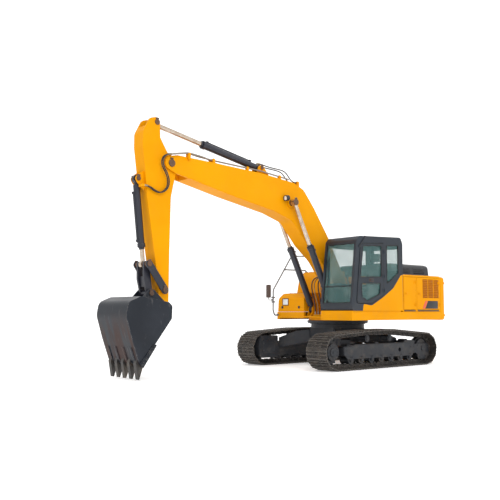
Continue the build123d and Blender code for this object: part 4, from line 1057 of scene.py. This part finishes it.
# A row is a barrel: its eye, its rod's eye, its length and diameter, its rod's diameter and its places across.
GLANDS = (
    ("boom_cylinder_barrels", (527, 1320), (1750, 3740), 1620, 146, 90, (-332, 332)),
    ("arm_cylinder_barrel", (2550, 4460), (5330, 5000), 1600, 150, 100, (0,)),
    ("bucket_cylinder_barrel", (5700, 3840), (5515, 2185), 1330, 132, 85, (0,)),
)
for body, base, rod, length, diameter, rod_diameter, places in GLANDS:
    glands, wipers = bmesh.new(), bmesh.new()
    for y in places:
        foot = at(base[0], y, base[1])
        along = (at(rod[0], y, rod[1]) - foot).normalized()
        across = -Vector((0, 1, 0)).cross(along).normalized()
        end = foot + along * length / 1000
        for place in around(end - along * 0.005, along, (diameter / 2 + 0.5) / 1000, 10, 0.2):
            add_turned(glands, place, along, (-0.002, 0.011, 0.009, 6, 0.008))
        rim = (diameter / 2 + 14) / 1000
        add_turned(glands, end, along, (-0.062, -0.056, rim, 40), (-0.020, -0.014, rim, 40))
        for flange in (foot + along * 0.270, end - along * 0.130):
            for shift, wide in ((-0.016, -0.016), (-0.016, 0.016), (0.016, -0.016), (0.016, 0.016)):
                head = flange + across * (diameter / 2 + 36) / 1000 + along * shift + Vector((0, wide, 0))
                add_turned(glands, head, across, (-0.004, 0.008, 0.006, 6))
        add_turned(wipers, end, along, (0.032, 0.044, (diameter / 2 - 13) / 1000, 40, (rod_diameter / 2 + 5) / 1000))
    finished(f"{body}_glands", glands, cylinder_navy, body)
    finished(f"{body}_wipers", wipers, seal_rubber, body)

# ---- Hose fittings ----
# Plated steel. A ribbed ferrule is crimped on each end of every hose, and a hexagon nut screws it to its
# port.
fitting_steel = two_tone("plated_fitting_steel", ((20, 4), 0.4, 0.7), ((0.42, 0.37, 0.27), (0.24, 0.21, 0.17)),
                         (0.28, 0.25), (140, 3, 0.1, 0.0005), Metallic=0.8)


def add_ferrule(mesh, port, toward, radius):
    """A nut at the port, then the crimped sleeve with its ribs round the hose."""
    port = at(*port)
    along = (at(*toward) - port).normalized()
    add_turned(mesh, port, along, (-0.006, 0.020, radius * 1.75, 6), (0.018, 0.074, radius * 1.28, 24),
               *((rib, rib + 0.006, radius * 1.42, 24) for rib in (0.026, 0.038, 0.050, 0.062)))


deck_ends, boom_ends, arm_ends = bmesh.new(), bmesh.new(), bmesh.new()
for across, lean, rubber in BOOM_HOSE_ROWS:
    add_ferrule(deck_ends, (610, across, 1200), (610, across, 1400), 0.014)
    add_ferrule(boom_ends, (500, across, 2085), (575, across, 2085), 0.014)
for shift in ARM_HOSE_SHIFTS:
    x, z, y = ARM_HOSE[0]
    add_ferrule(boom_ends, (x - shift * 0.5, y + shift, z), (x + 120 - shift * 0.5, y + shift, z - 24), 0.013)
    add_ferrule(arm_ends, (5640, 190 + shift, 3696), (5525, 190 + shift, 3696), 0.013)
for across in CYLINDER_HOSE_ROWS:
    add_ferrule(boom_ends, (1440, across, 4262), (1530, across, 4262), 0.013)
    add_ferrule(boom_ends, (2640, across, 4552), (2530, across, 4560), 0.013)
for body, ends in (("deck", deck_ends), ("boom", boom_ends), ("arm", arm_ends)):
    finished(f"{body}_hose_ends", ends, fitting_steel, "upper" if body == "deck" else body)

# ---- Boom fittings ----
# Welded saddles carry the two pipes along the top of the boom, and beads of weld run along its lower edges. The
# work lamp has a crowned lens in a rolled rim.
BOOM_HALF = 208
LOWER_EDGE = ((1700, 3346), (2240, 3516), (3560, 3756), (4800, 4012))
LAMP_TILT = radians(100)
LAMP_FOOT = (1945, 3818)

saddles = bmesh.new()
for x, y, pipe in ((2050, 150, 4320), (2050, -150, 4320), (3000, 150, 4391), (3000, -150, 4391), (3400, -150, 4408)):
    add_blocks(saddles, 0.006, ((x - 28, y - 34, pipe - 68), (x + 28, y + 34, pipe + 24)))
    add_bolts(saddles, [at(x, y, pipe + 24)], UP, 0.010)
add_blocks(saddles, 0.008, ((3900, 22, 4362), (3960, 190, 4458)))
add_bolts(saddles, [at(3930, y, 4458) for y in (50, 106, 162)], UP, 0.010)
add_blocks(saddles, 0.006, ((4580, 165, 4340), (4640, 262, 4470)))
finished("boom_pipe_saddles", saddles, machine_yellow, "boom")

beads = bmesh.new()
for (x, z), (x_next, z_next) in zip(LOWER_EDGE, LOWER_EDGE[1:]):
    for y in (BOOM_HALF, -BOOM_HALF):
        add_rod(beads, at(x, y, z), at(x_next, y, z_next), 0.007, 8)
finished("boom_weld_beads", beads, machine_yellow, "boom")

lamp_axis = Vector((sin(LAMP_TILT), 0, cos(LAMP_TILT)))
lamp_face = at(1951, 292, 3823) + lamp_axis * 0.045
rim = bmesh.new()
bmesh.ops.create_cone(rim, cap_ends=False, segments=40, radius1=0.066, radius2=0.060, depth=0.016,
                      matrix=standing(lamp_face, lamp_axis))
bmesh.ops.solidify(rim, geom=rim.faces[:], thickness=0.004)
x, z = LAMP_FOOT
add_turned(rim, at(x, 245, z), (0, 1, 0), (0, 0.017, 0.020, 20))
add_bolts(rim, [at(x + shift * 0.7, 246, z + shift) for shift in (-22, 22)], (0, 1, 0), 0.007)
finished("work_lamp_rim", rim, hood_black, "boom")
lamp_glass = bmesh.new()
bmesh.ops.create_uvsphere(lamp_glass, u_segments=36, v_segments=18, radius=0.055,
                          matrix=standing(lamp_face - lamp_axis * 0.012, lamp_axis) @ Matrix.Diagonal((1, 1, 0.26, 1)))
finished("work_lamp_lens", lamp_glass, clear_lens.material, "boom", 60)

# ---- Bucket ----
# Wear plate, rolled and welded, in dark blue-grey paint that the soil has rubbed to rust-brown bands down its
# back. The teeth are cast steel.
paint = Finish("bucket_blue_grey", Specular_IOR_Level=0.25, Coat_Weight=0.02)
drift = paint.window(paint.noise(1.4, 4), 0.3, 0.7)
tone = paint.mix(drift, (0.009, 0.012, 0.018), (0.016, 0.020, 0.028))
bands = paint.window(paint.noise(6.5, 4, 0.5, (0.12, 1, 0.12)), 0.44, 0.62)
lower = paint.window(paint.part_of(paint.place(), "Z"), 1.35, 0.8)
rust = bands * lower * paint.window(paint.part_of(paint.facing(), "X"), 0.25, 0.6)
tone = paint.mix(rust * 0.7, tone, (0.060, 0.028, 0.020))
scratches = paint.window(paint.noise(28, 5, 0.7, (0.3, 1, 0.1)), 0.58, 0.70)
tone = paint.mix(scratches * 0.3, tone, (0.15, 0.14, 0.14))
rubbed = paint.edges(0.010) * paint.window(paint.noise(12, 5), 0.42, 0.60)
paint.set("Base Color", paint.mix(rubbed * 0.7, tone, (0.30, 0.29, 0.28)))
paint.set("Roughness", 0.36 + drift * 0.1 + rust * 0.2)
paint.set("Metallic", rubbed * 0.5)
paint.bumps(paint.noise(60, 5, 0.6), 0.18, 0.002)
coat(paint.material, "bucket")

tooth_steel = sprayed_paint("tooth_black", (0.020, 0.019, 0.019), (0.035, 0.032, 0.030), (0.35, 0.33, 0.30), 0.45, 0.5)
coat(tooth_steel, "bucket_teeth")

# ---- Bucket fittings ----
# Wear straps are welded along the back, the side cutters are bolted on, and a pin locks each tooth on its
# adapter.
STRAP = ((5908, 352), (6006, 622), (6022, 616), (5926, 345))
STRAP_HALF = 38
BUCKET_SIDE = 579
TOOTH_PITCH = 230

straps = bmesh.new()
for y in (-420, -140, 140, 420):
    add_plate(straps, STRAP, y - STRAP_HALF, y + STRAP_HALF)
ease(straps, 0.004)
for side in (1, -1):
    places = [at(5575 + share * 300, side * BUCKET_SIDE, 655 - share * 370) for share in (0.12, 0.38, 0.64, 0.88)]
    add_bolts(straps, places, (0, side, 0), 0.022, 0.018)
finished("bucket_wear_straps", straps, paint.material, "bucket")

locks = bmesh.new()
for tooth in range(-2 * TOOTH_PITCH, 2 * TOOTH_PITCH + 1, TOOTH_PITCH):
    for side in (-1, 1):
        add_cap(locks, at(5868, tooth + side * 45, 262), (0, side, 0), 0.018, 0.004)
        add_blocks(locks, 0.002, ((5836, tooth + side * 44, 210), (5900, tooth + side * 50, 232)))
finished("tooth_lock_pins", locks, tooth_steel, "bucket")
